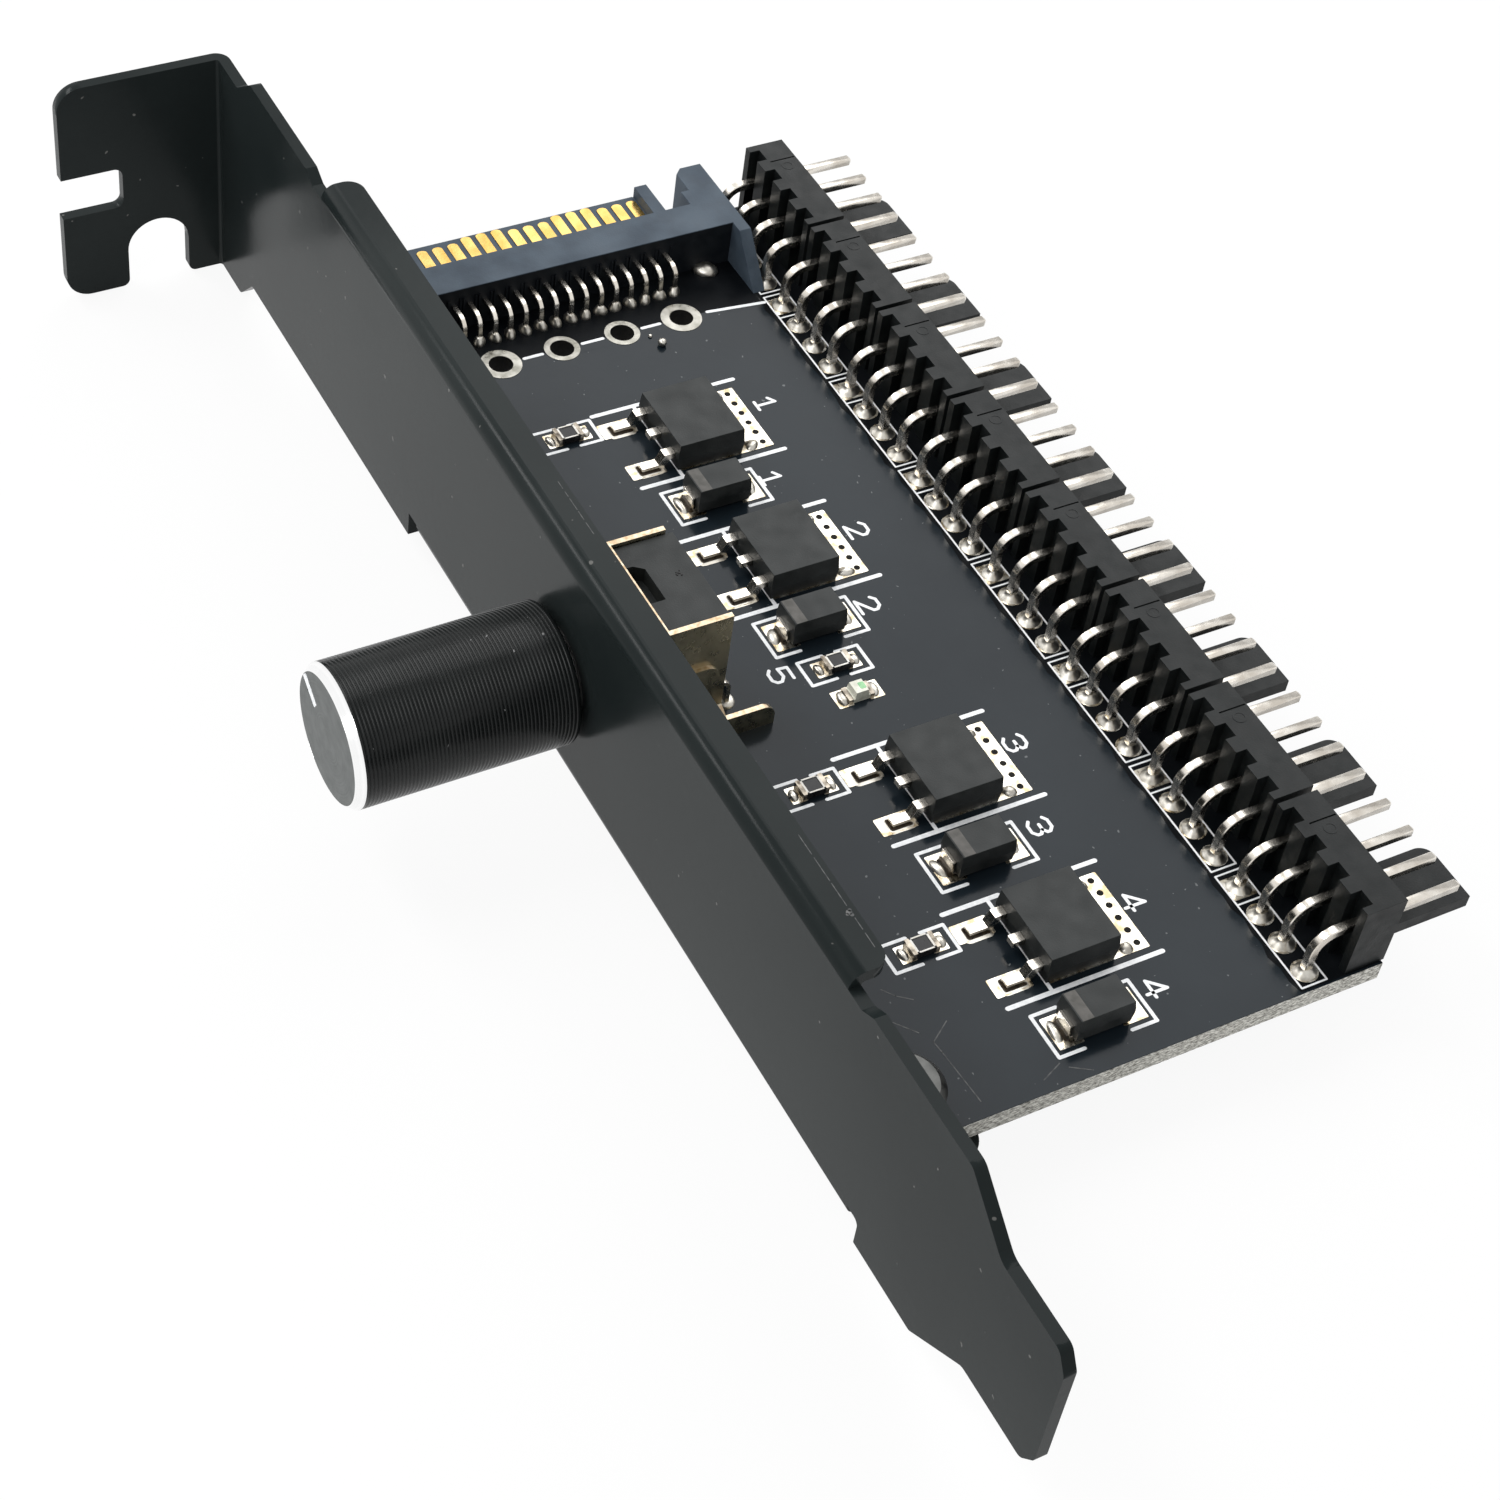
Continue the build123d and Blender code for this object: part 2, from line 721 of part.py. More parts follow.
# Diodes: moulded body with a lead folded under each end
lead_outer = diode_length / 2 + diode_lead_gap
lead_inner = lead_outer - diode_lead_thickness
diode_lead_corners = [
    (diode_length / 2 - diode_inside, diode_lead_height + diode_lead_thickness / 2),
    (lead_outer, diode_lead_height + diode_lead_thickness / 2),
    (lead_outer, 0),
    (diode_length / 2 - diode_foot, 0),
    (diode_length / 2 - diode_foot, diode_lead_thickness),
    (lead_inner, diode_lead_thickness),
    (lead_inner, diode_lead_height - diode_lead_thickness / 2),
    (diode_length / 2 - diode_inside, diode_lead_height - diode_lead_thickness / 2),
]
for number, along in enumerate(diode_along, 1):
    with BuildPart() as diode_leads:
        for side in (-1, 1):
            corners = [(diode_depth + side * out, height) for out, height in diode_lead_corners]
            with BuildSketch(section(along - diode_lead_width / 2)):
                with BuildLine():
                    Polyline(*corners, close=True)
                make_face()
            extrude(amount=diode_lead_width)
    save(diode_leads.part, f"diode_leads_{number}")
    with BuildPart() as diode:
        with BuildSketch(level(diode_lead_height)):
            with Locations((along, diode_depth)):
                Rectangle(diode_width, diode_length)
        extrude(amount=diode_height - diode_lead_height, taper=mould_draft)
        extrude(
            to_extrude=diode.faces().sort_by(Axis.Z)[0],
            amount=diode_lead_height - diode_stand,
            taper=mould_draft,
        )
        add(diode_leads.part, mode=Mode.SUBTRACT)
    save(diode.part, f"diode_{number}")

# Chip resistors: ceramic chip between two metal caps that stand a little proud
for number, (along, depth) in enumerate(resistor_places, 1):
    with BuildPart() as resistor:
        with BuildSketch(level(0)):
            with Locations((along, depth)):
                Rectangle(chip_width, chip_length - 2 * cap_length)
        extrude(amount=chip_height)
        cap_offset = (chip_length - cap_length) / 2
        with BuildSketch(level(0)):
            with Locations((along, depth - cap_offset), (along, depth + cap_offset)):
                Rectangle(chip_width + 2 * cap_proud, cap_length)
        extrude(amount=chip_height + cap_proud)
    save(resistor.part, f"resistor_{number}")

# Indicator: chip base with a clear lens
with BuildPart() as led:
    with BuildSketch(level(0)):
        with Locations((led_along, led_depth)):
            Rectangle(chip_width, chip_length)
    extrude(amount=led_base_height)
    with BuildSketch(level(led_base_height)):
        with Locations((led_along, led_depth)):
            Rectangle(chip_width, led_lens_length)
    extrude(amount=led_lens_height, taper=led_draft)
save(led.part, "led")

# Potentiometer frame: front plate with two arms, each with a foot that is soldered to the board
with BuildPart() as pot_frame:
    with BuildSketch(front(frame_front)):
        with Locations((shaft_along, (frame_top + arm_low) / 2)):
            Rectangle(frame_width, frame_top - arm_low)
        with Locations((shaft_along, shaft_height)):
            Circle(shaft_radius + moving_gap, mode=Mode.SUBTRACT)
    extrude(amount=-frame_sheet)
    for side, reach in ((-1, far_arm_reach), (1, near_arm_reach)):
        arm_along = shaft_along + side * (frame_width - frame_sheet) / 2
        foot_along = arm_along + side * foot_out
        foot_start = frame_front + foot_first
        foot_rear = frame_front + foot_last
        with BuildSketch(section(arm_along - frame_sheet / 2)):
            with Locations((frame_front + reach / 2, (frame_top + arm_low) / 2)):
                Rectangle(reach, frame_top - arm_low)
        extrude(amount=frame_sheet)
        with BuildSketch(front(foot_start)):
            with BuildLine():
                FilletPolyline(
                    (arm_along, arm_low + frame_sheet),
                    (arm_along, arm_low),
                    (foot_along, foot_height),
                    (foot_along, 0),
                    radius=joggle_bend,
                )
            trace(line_width=frame_sheet)
        extrude(amount=foot_first - reach)
        with BuildSketch(section(foot_along - frame_sheet / 2)):
            with BuildLine():
                FilletPolyline(
                    (foot_start, 0),
                    (foot_rear, 0),
                    (foot_rear, foot_height),
                    (foot_start, foot_height),
                    radius=(0, 0, foot_corner, 0),
                    close=True,
                )
            make_face()
            with Locations((leg_depth, -(board_thickness + leg_length) / 2)):
                Rectangle(leg_width, board_thickness + leg_length)
        extrude(amount=frame_sheet)
    with BuildSketch(section(frame_end)):
        with BuildLine():
            FilletPolyline(
                (frame_front + lug_first, lug_low),
                (frame_front + lug_first + lug_width, lug_low),
                (frame_front + lug_first + lug_width, lug_low + lug_height),
                (frame_front + lug_first, lug_low + lug_height),
                radius=(0, 0, lug_round, 0),
                close=True,
            )
        make_face()
    extrude(amount=lug_proud)
save(pot_frame.part, "pot_frame")

# Potentiometer terminals: three flat pins out of the body's rear, bent into the board
with BuildPart() as pot_terminals:
    for along in terminal_places:
        with BuildSketch(section(along - terminal_width / 2)):
            with BuildLine():
                FilletPolyline(
                    (body_rear - terminal_inside, terminal_height),
                    (terminal_depth, terminal_height),
                    (terminal_depth, -board_thickness - terminal_tail),
                    radius=terminal_bend,
                )
            trace(line_width=terminal_thickness)
        extrude(amount=terminal_width)
save(pot_terminals.part, "pot_terminals")

# Potentiometer body: moulded block between the arms, hollow behind the front plate
body_width = frame_width - 2 * (frame_sheet + body_gap)
notch_along = shaft_along + body_notch_offset
with BuildPart() as pot_body:
    with BuildSketch(front(frame_inner_face)):
        with Locations((shaft_along, (body_top + body_low) / 2)):
            Rectangle(body_width, body_top - body_low)
    extrude(amount=frame_inner_face - body_rear)
    with BuildSketch(front(frame_inner_face)):
        with Locations((shaft_along, shaft_height)):
            Circle(cavity_radius)
    extrude(amount=-cavity_depth, mode=Mode.SUBTRACT)
    with BuildSketch(level(body_top)):
        with BuildLine():
            Polyline(
                (notch_along - body_notch_width / 2, frame_inner_face),
                (notch_along - body_notch_width / 2, frame_inner_face + body_notch_reach / 2),
                (notch_along - body_notch_width / 2 + body_notch_corner, frame_inner_face + body_notch_reach),
                (notch_along + body_notch_width / 2, frame_inner_face + body_notch_reach),
                (notch_along + body_notch_width / 2, frame_inner_face),
                close=True,
            )
        make_face()
    extrude(amount=-body_notch_depth, mode=Mode.SUBTRACT)
    add(pot_terminals.part, mode=Mode.SUBTRACT)
save(pot_body.part, "pot_body")

# Potentiometer track: resistance ring on the rear wall of the body's cavity
with BuildPart() as pot_track:
    with BuildSketch(front(track_front)):
        with Locations((shaft_along, shaft_height)):
            Circle(track_radius)
            Circle(track_inner_radius, mode=Mode.SUBTRACT)
    extrude(amount=-track_thickness)
save(pot_track.part, "pot_track")

# Potentiometer bushing: sleeve on the frame that reaches into the bracket's hole
with BuildPart() as pot_bushing:
    with BuildSketch(front(frame_front)):
        with Locations((shaft_along, shaft_height)):
            Circle(bushing_radius)
            Circle(shaft_radius + shaft_running_gap, mode=Mode.SUBTRACT)
    extrude(amount=bushing_length)
save(pot_bushing.part, "pot_bushing")

# Shaft: split end in the knob, running part in the bushing, spindle in the rotor
with BuildPart() as pot_shaft:
    with BuildSketch(front(rotor_front)):
        with Locations((shaft_along, shaft_height)):
            Circle(shaft_radius)
    extrude(amount=rotor_front - shaft_end)
    with BuildSketch(front(rotor_rear)):
        with Locations((shaft_along, shaft_height)):
            Circle(spindle_radius)
    extrude(amount=rotor_rear - rotor_front)
    with BuildSketch(front(shaft_end)):
        with Locations((shaft_along, shaft_height)):
            Rectangle(shaft_slit_width, 2 * shaft_radius)
    extrude(amount=-shaft_slit_length, mode=Mode.SUBTRACT)
save(pot_shaft.part, "pot_shaft")

# Rotor: disc on the shaft's spindle
with BuildPart() as pot_rotor:
    with BuildSketch(front(rotor_front)):
        with Locations((shaft_along, shaft_height)):
            Circle(rotor_radius)
            Circle(spindle_radius + insert_gap, mode=Mode.SUBTRACT)
    extrude(amount=-rotor_thickness)
save(pot_rotor.part, "pot_rotor")

# Wiper: spring strip on the rotor that reaches towards the track
wiper_near = rotor_rear + wiper_thickness / 2
wiper_far = track_front - moving_gap - wiper_thickness / 2
with BuildPart() as pot_wiper:
    with BuildSketch(section(shaft_along - wiper_width / 2)):
        with BuildLine():
            FilletPolyline(
                (wiper_near, shaft_height + wiper_start),
                (wiper_near, shaft_height + wiper_rise),
                (wiper_far, shaft_height + wiper_land),
                (wiper_far, shaft_height + wiper_end),
                radius=wiper_thickness,
            )
        trace(line_width=wiper_thickness)
    extrude(amount=wiper_width)
save(pot_wiper.part, "pot_wiper")

# Knob: turned shell with a chamfered face and an engraved pointer, and the insert inside it
shaft_axis = Axis(
    (datum.X + shaft_along, datum.Y, datum.Z + shaft_height),
    (0, 1, 0),
)
knob_inner_radius = knob_radius - knob_wall
insert_start = knob_rear - insert_recess
insert_bore_end = shaft_end - moving_gap
with BuildPart() as knob_cap:
    with BuildSketch(section(shaft_along)):
        with BuildLine():
            Polyline(
                (knob_front, shaft_height),
                (knob_front, shaft_height + knob_face_radius),
                (knob_front + knob_chamfer_length, shaft_height + knob_radius),
                (knob_rear - knob_rear_chamfer, shaft_height + knob_radius),
                (knob_rear, shaft_height + knob_radius - knob_rear_chamfer),
                (knob_rear, shaft_height + knob_inner_radius),
                (knob_inner_face, shaft_height + knob_inner_radius),
                (knob_inner_face, shaft_height),
                close=True,
            )
        make_face()
    revolve(axis=shaft_axis)
    with BuildSketch(front(knob_front)):
        with BuildLine():
            Line(
                (shaft_along + pointer_outer[0], shaft_height + pointer_outer[1]),
                (shaft_along + pointer_inner[0], shaft_height + pointer_inner[1]),
            )
        trace(line_width=pointer_width)
    extrude(amount=-pointer_recess, mode=Mode.SUBTRACT)
save(knob_cap.part, "knob_cap")

with BuildPart() as knob_insert:
    with BuildSketch(front(insert_start)):
        with Locations((shaft_along, shaft_height)):
            Circle(knob_inner_radius - insert_gap)
    extrude(amount=insert_start - knob_inner_face)
    with BuildSketch(front(insert_start)):
        with Locations((shaft_along, shaft_height)):
            Circle(shaft_radius + insert_gap)
    extrude(amount=insert_start - insert_bore_end, mode=Mode.SUBTRACT)
save(knob_insert.part, "knob_insert")
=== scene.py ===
import math
import random

import bmesh
import bpy
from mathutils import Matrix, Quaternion, Vector


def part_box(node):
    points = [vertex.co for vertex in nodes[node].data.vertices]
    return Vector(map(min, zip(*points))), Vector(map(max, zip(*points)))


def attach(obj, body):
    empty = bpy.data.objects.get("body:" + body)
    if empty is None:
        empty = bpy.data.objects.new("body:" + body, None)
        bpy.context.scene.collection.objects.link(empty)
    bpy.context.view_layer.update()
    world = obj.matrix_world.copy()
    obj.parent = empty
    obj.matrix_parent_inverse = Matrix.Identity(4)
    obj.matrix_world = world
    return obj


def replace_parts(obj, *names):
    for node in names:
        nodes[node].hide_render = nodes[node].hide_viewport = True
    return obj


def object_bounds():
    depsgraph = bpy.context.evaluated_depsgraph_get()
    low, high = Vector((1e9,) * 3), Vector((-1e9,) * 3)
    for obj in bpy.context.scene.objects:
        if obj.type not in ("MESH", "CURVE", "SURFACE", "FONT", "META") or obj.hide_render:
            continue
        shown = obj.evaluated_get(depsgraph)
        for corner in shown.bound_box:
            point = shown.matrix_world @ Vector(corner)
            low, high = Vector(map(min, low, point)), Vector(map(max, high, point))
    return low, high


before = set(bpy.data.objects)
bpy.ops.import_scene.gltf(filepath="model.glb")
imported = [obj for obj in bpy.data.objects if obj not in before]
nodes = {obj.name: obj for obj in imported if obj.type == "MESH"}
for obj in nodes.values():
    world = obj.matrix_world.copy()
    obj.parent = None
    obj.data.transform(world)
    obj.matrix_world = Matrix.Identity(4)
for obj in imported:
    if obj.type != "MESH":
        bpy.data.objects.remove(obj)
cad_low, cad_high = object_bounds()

random.seed(7)
mm = 0.001

# Sizes in millimetres, counted as in the CAD source: along the board, in depth and in height
# from pin 1 of the first fan header on the component side of the board
pin_size = 0.64
pin_pitch = 2.54
pins_per_header = 4
pin_height = 3.45
pin_tip = 11.4
pin_tip_length = 0.2
pin_taper = 0.16
pin_corner = 0.07
pin_bend = 1.5
pin_end = -2.65
pin_row_inset = 5.3
pin_row_start = 1.6
board_thickness = 1.6
ink_height = 0.02
pad_height = 0.035
overlap = 0.01
off_board = 0.02

board_low, board_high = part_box("circuit_board")
datum = Vector((
    board_low.x + pin_row_start * mm,
    board_high.y - pin_row_inset * mm,
    board_low.z + board_thickness * mm,
))


def at(along, depth, height=0.0):
    """A place in the row frame, in metres."""
    return datum + Vector((along, depth, height)) * mm


def local(point):
    """Along, depth and height of a point of the row frame, in millimetres."""
    return (point - datum) / mm


def middle(node):
    """Middle of a CAD node's box, in the row frame."""
    low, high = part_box(node)
    return local((low + high) / 2)


# Node helpers for the materials
def new_material(name):
    """A named material with its node tree and its shader."""
    material = bpy.data.materials.new(name)
    material.use_nodes = True
    shader = material.node_tree.nodes["Principled BSDF"]
    return material, material.node_tree, shader


def add_node(tree, kind, **values):
    """A new node with some of its settings."""
    node = tree.nodes.new(kind)
    for key, value in values.items():
        setattr(node, key, value)
    return node


def colour(value):
    """Opaque colour from three shares or from one grey value."""
    if isinstance(value, (int, float)):
        return (value, value, value, 1)
    return (*value, 1)


def feed(tree, source, socket):
    """Links a source to a socket, or sets the socket to a plain number or colour."""
    if isinstance(source, bpy.types.NodeSocket):
        tree.links.new(source, socket)
    elif socket.type == "RGBA":
        socket.default_value = colour(source)
    else:
        socket.default_value = source


def noise(tree, scale, detail=3.0, rough=0.5, stretch=(1, 1, 1)):
    """Noise over the object's own coordinates; scale is in features per metre."""
    place = add_node(tree, "ShaderNodeTexCoord")
    mapping = add_node(tree, "ShaderNodeMapping")
    mapping.inputs["Scale"].default_value = stretch
    texture = add_node(tree, "ShaderNodeTexNoise")
    texture.inputs["Scale"].default_value = scale
    texture.inputs["Detail"].default_value = detail
    texture.inputs["Roughness"].default_value = rough
    tree.links.new(place.outputs["Object"], mapping.inputs["Vector"])
    tree.links.new(mapping.outputs["Vector"], texture.inputs["Vector"])
    return texture.outputs["Fac"]


def ramp(tree, source, low, high, low_value, high_value):
    """Colour ramp from one colour or grey value to another between two levels of a source."""
    node = add_node(tree, "ShaderNodeValToRGB")
    first, last = node.color_ramp.elements
    first.position, last.position = low, high
    first.color = colour(low_value)
    last.color = colour(high_value)
    tree.links.new(source, node.inputs["Fac"])
    return node.outputs["Color"]


def mix(tree, factor, low, high):
    """Blend of two colours or grey values."""
    node = add_node(tree, "ShaderNodeMix", data_type="RGBA")
    for place, source in (("Factor", factor), (6, low), (7, high)):
        feed(tree, source, node.inputs[place])
    return node.outputs[2]


def calculate(tree, operation, *sources):
    """Result of a maths node over sockets and plain numbers."""
    node = add_node(tree, "ShaderNodeMath", operation=operation)
    for source, socket in zip(sources, node.inputs):
        feed(tree, source, socket)
    return node.outputs["Value"]


def bump(tree, shader, source, distance, strength=1.0):
    """Bump of a height in millimetres."""
    node = add_node(tree, "ShaderNodeBump")
    node.inputs["Distance"].default_value = distance * mm
    node.inputs["Strength"].default_value = strength
    tree.links.new(source, node.inputs["Height"])
    tree.links.new(node.outputs["Normal"], shader.inputs["Normal"])


def normal_up(tree):
    """Upward share of the surface's normal: 1 on level tops, 0 on upright faces, -1 on undersides."""
    geometry = add_node(tree, "ShaderNodeNewGeometry")
    split = add_node(tree, "ShaderNodeSeparateXYZ")
    tree.links.new(geometry.outputs["Normal"], split.inputs["Vector"])
    return split.outputs["Z"]


# Materials
def surface(name, dark, light, rough, patch, grain, grain_depth, metallic=0.0, specks=None, gloss=0.5):
    """A material with slow patches of colour, a fine grain in its bump and, on request, pale specks."""
    material, tree, shader = new_material(name)
    base = ramp(tree, noise(tree, patch, 4), 0.35, 0.65, dark, light)
    if specks:
        speck_colour, speck_scale, speck_level = specks
        dots = ramp(tree, noise(tree, speck_scale, 1), speck_level, speck_level + 0.02, 0.0, 1.0)
        base = mix(tree, dots, base, speck_colour)
    tree.links.new(base, shader.inputs["Base Color"])
    roughness = ramp(tree, noise(tree, patch * 2, 5), 0.3, 0.7, *rough)
    tree.links.new(roughness, shader.inputs["Roughness"])
    shader.inputs["Metallic"].default_value = metallic
    shader.inputs["Specular IOR Level"].default_value = gloss
    bump(tree, shader, noise(tree, grain, 2), grain_depth)
    return material


def coating(name, dark, light, rough, patch, grain, grain_depth, gloss, specks=None):
    """Paint, plastic, glaze and other coats that aren't metal."""
    return surface(name, dark, light, rough, patch, grain, grain_depth, 0.0, specks, gloss)


def metal(name, dark, light, rough, patch, grain, grain_depth):
    """Bare or plated metal."""
    return surface(name, dark, light, rough, patch, grain, grain_depth, 1.0)


def sheared_steel():
    """Khaki plated sheet whose upward faces, its sheared edges, take a warmer tint of their own, partly for
    the bare metal of the cut and partly as a painted highlight of the light that falls on them from above;
    the sheet is a little rough.
    """
    material, tree, shader = new_material("khaki_plated_steel")
    plate = ramp(tree, noise(tree, 700, 4), 0.3, 0.7, (0.34, 0.31, 0.215), (0.5, 0.455, 0.33))
    edge_and_highlight = ramp(tree, noise(tree, 2600, 5), 0.3, 0.7, (0.3, 0.205, 0.115), (0.5, 0.43, 0.33))
    # Upward faces get their own tint: partly the sheared edges' bare metal, partly a painted highlight
    upward = calculate(tree, "GREATER_THAN", normal_up(tree), 0.8)
    tree.links.new(mix(tree, upward, plate, edge_and_highlight), shader.inputs["Base Color"])
    roughness = ramp(tree, noise(tree, 1400, 5), 0.3, 0.7, 0.22, 0.4)
    tree.links.new(roughness, shader.inputs["Roughness"])
    shader.inputs["Metallic"].default_value = 1.0
    bump(tree, shader, noise(tree, 2600, 4), 0.01)
    return material


def turned_metal(name, dark, light, rough, axis_origin, fine, ring_depth):
    """Lathe-turned metal: fine rings round an axis along the depth direction."""
    material, tree, shader = new_material(name)
    place = add_node(tree, "ShaderNodeTexCoord")
    shift = add_node(tree, "ShaderNodeVectorMath", operation="SUBTRACT")
    shift.inputs[1].default_value = axis_origin
    flat = add_node(tree, "ShaderNodeVectorMath", operation="MULTIPLY")
    flat.inputs[1].default_value = (1, 0, 1)
    length = add_node(tree, "ShaderNodeVectorMath", operation="LENGTH")
    tree.links.new(place.outputs["Object"], shift.inputs[0])
    tree.links.new(shift.outputs["Vector"], flat.inputs[0])
    tree.links.new(flat.outputs["Vector"], length.inputs[0])
    rings = add_node(tree, "ShaderNodeTexNoise", noise_dimensions="1D")
    rings.inputs["Scale"].default_value = fine
    rings.inputs["Detail"].default_value = 3
    tree.links.new(length.outputs["Value"], rings.inputs["W"])
    base = ramp(tree, rings.outputs["Fac"], 0.3, 0.7, dark, light)
    tree.links.new(base, shader.inputs["Base Color"])
    roughness = ramp(tree, noise(tree, 900, 4), 0.3, 0.7, *rough)
    tree.links.new(roughness, shader.inputs["Roughness"])
    shader.inputs["Metallic"].default_value = 1.0
    bump(tree, shader, rings.outputs["Fac"], ring_depth)
    return material


def board_material():
    """Dark solder mask with specks of dust on the faces, and rough glass fibre on the edges."""
    material, tree, shader = new_material("circuit_board_laminate")
    mask = ramp(tree, noise(tree, 90, 4), 0.35, 0.65, (0.0075, 0.0122, 0.0168), (0.0118, 0.0176, 0.0229))
    dust = ramp(tree, noise(tree, 2200, 1), 0.76, 0.78, 0.0, 1.0)
    mask = mix(tree, dust, mask, (0.12, 0.13, 0.135))
    threads = noise(tree, 2600, 6, 0.75, (1, 1, 3))
    fibre = ramp(tree, threads, 0.4, 0.6, (0.16, 0.155, 0.135), (0.86, 0.85, 0.79))
    level = calculate(tree, "GREATER_THAN", calculate(tree, "ABSOLUTE", normal_up(tree)), 0.7)
    tree.links.new(mix(tree, level, fibre, mask), shader.inputs["Base Color"])
    mask_roughness = ramp(tree, noise(tree, 300, 4), 0.3, 0.7, 0.12, 0.19)
    tree.links.new(mix(tree, level, 0.75, mask_roughness), shader.inputs["Roughness"])
    shader.inputs["Specular IOR Level"].default_value = 0.14
    bump(tree, shader, noise(tree, 900, 6, 0.7), 0.03, 0.3)
    return material


paint = coating(
    "satin_black_paint", (0.0098, 0.0134, 0.0136), (0.0165, 0.0208, 0.0208), (0.18, 0.26),
    60, 1500, 0.006, 0.078, specks=((0.12, 0.12, 0.115), 1300, 0.765))
barrel = coating(
    "knob_black_anodised", (0.005, 0.0062, 0.0062), (0.0095, 0.0112, 0.011), (0.2, 0.28),
    300, 6000, 0.002, 0.22, specks=((0.2, 0.2, 0.2), 1900, 0.79))
bushing_finish = coating(
    "dark_bushing", (0.01, 0.01, 0.01), (0.02, 0.02, 0.02), (0.4, 0.55), 900, 5000, 0.006, 0.2)
moulded_black = coating(
    "moulded_black_plastic", (0.0036, 0.0048, 0.005), (0.0088, 0.0106, 0.0108), (0.36, 0.52),
    500, 7000, 0.01, 0.155)
moulded_grey = coating(
    "moulded_slate_plastic", (0.04, 0.055, 0.074), (0.073, 0.095, 0.12), (0.42, 0.58),
    350, 7000, 0.01, 0.14)
# Near-black colour of the plug's shaded rear face: painted shade
plug_shadow = coating(
    "plug_rear_painted_shade", (0.005, 0.0065, 0.009), (0.011, 0.0135, 0.0165), (0.45, 0.6),
    900, 7000, 0.008, 0.15)
epoxy = coating(
    "moulded_epoxy", (0.0145, 0.0168, 0.0168), (0.0295, 0.0322, 0.0322), (0.42, 0.58),
    700, 9000, 0.012, 0.21)
# Near-black, nearly matt finish of a sheet of painted shadow and dark reflection on the board
shade_sheet_finish = coating(
    "board_painted_shade", (0.0032, 0.004, 0.005), (0.0068, 0.0078, 0.0092), (0.28, 0.4),
    300, 5000, 0.006, 0.035)
epoxy_band = coating(
    "printed_band", (0.065, 0.063, 0.057), (0.11, 0.105, 0.098), (0.5, 0.6), 1500, 12000, 0.008, 0.25)
resistor_glaze = coating(
    "resistor_glaze", (0.007, 0.007, 0.008), (0.02, 0.02, 0.021), (0.25, 0.4), 1500, 9000, 0.006, 0.25)
alumina = coating(
    "resistor_ceramic", (0.7, 0.67, 0.6), (0.9, 0.88, 0.83), (0.4, 0.6), 2500, 9000, 0.006, 0.5)
# Dark brown for the painted shade round the lead feet
foot_shade_finish = coating(
    "painted_foot_shade", (0.012, 0.008, 0.005), (0.05, 0.034, 0.018), (0.25, 0.45), 2200, 5000, 0.02, 0.25)
carbon = coating(
    "resistance_track", (0.01, 0.01, 0.01), (0.03, 0.03, 0.03), (0.4, 0.6), 900, 8000, 0.01, 0.5)
white_ink = coating(
    "white_ink", (0.78, 0.8, 0.82), (0.93, 0.94, 0.95), (0.45, 0.6), 2500, 9000, 0.005, 0.5)
# Near-black for painted shade inside holes and in the knob pointer's groove
hole_painted_shade = coating(
    "painted_hole_shade", (0.004, 0.004, 0.004), (0.012, 0.011, 0.009), (0.5, 0.7), 2500, 9000, 0.004, 0.1)
scuff = coating(
    "worn_streaks", (0.045, 0.048, 0.05), (0.13, 0.132, 0.13), (0.5, 0.7), 3000, 9000, 0.004, 0.25)
lamp_body = coating(
    "indicator_body", (0.6, 0.6, 0.5), (0.82, 0.82, 0.72), (0.2, 0.35), 1500, 6000, 0.006, 0.5)
lamp_green = coating(
    "indicator_chip", (0.12, 0.38, 0.16), (0.3, 0.62, 0.3), (0.2, 0.35), 1500, 6000, 0.006, 0.5)
screw_finish = metal("black_zinc", (0.04, 0.041, 0.04), (0.085, 0.086, 0.083), (0.3, 0.45), 900, 5000, 0.01)
bright_tin = metal("bright_tin", (0.6, 0.55, 0.48), (0.84, 0.8, 0.73), (0.16, 0.3), 700, 4000, 0.003)
worn_tin = metal("worn_tin", (0.06, 0.05, 0.04), (0.4, 0.36, 0.3), (0.25, 0.45), 1600, 4000, 0.012)
solder = metal("solder", (0.34, 0.32, 0.28), (0.62, 0.6, 0.55), (0.28, 0.42), 1200, 2500, 0.008)
ring_tin = metal("plated_ring_tin", (0.19, 0.185, 0.16), (0.4, 0.39, 0.355), (0.25, 0.42), 1100, 2500, 0.02)
pad_tin = metal("tinned_pads", (0.36, 0.29, 0.18), (0.86, 0.83, 0.75), (0.2, 0.4), 1300, 2500, 0.03)
gold = metal("gold_contacts", (0.4, 0.25, 0.065), (0.54, 0.37, 0.125), (0.16, 0.3), 900, 4000, 0.006)
brass = metal("brass", (0.62, 0.48, 0.22), (0.75, 0.6, 0.32), (0.2, 0.35), 700, 3500, 0.008)
khaki_metal = sheared_steel()
board_finish = board_material()

shaft_middle = middle("pot_shaft")
axis_along, axis_height = shaft_middle.x, shaft_middle.z
axis_origin = at(axis_along, 0, axis_height)
knob_face_metal = turned_metal(
    "turned_grey_face", (0.096, 0.105, 0.103), (0.126, 0.137, 0.134), (0.36, 0.46), axis_origin, 9000, 0.001)
knob_rim_metal = turned_metal(
    "diamond_cut_rim", (0.88, 0.885, 0.885), (0.98, 0.98, 0.98), (0.08, 0.16), axis_origin, 4000, 0.002)
shaft_metal = turned_metal(
    "turned_shaft", (0.5, 0.5, 0.5), (0.62, 0.62, 0.62), (0.25, 0.4), axis_origin, 4000, 0.004)

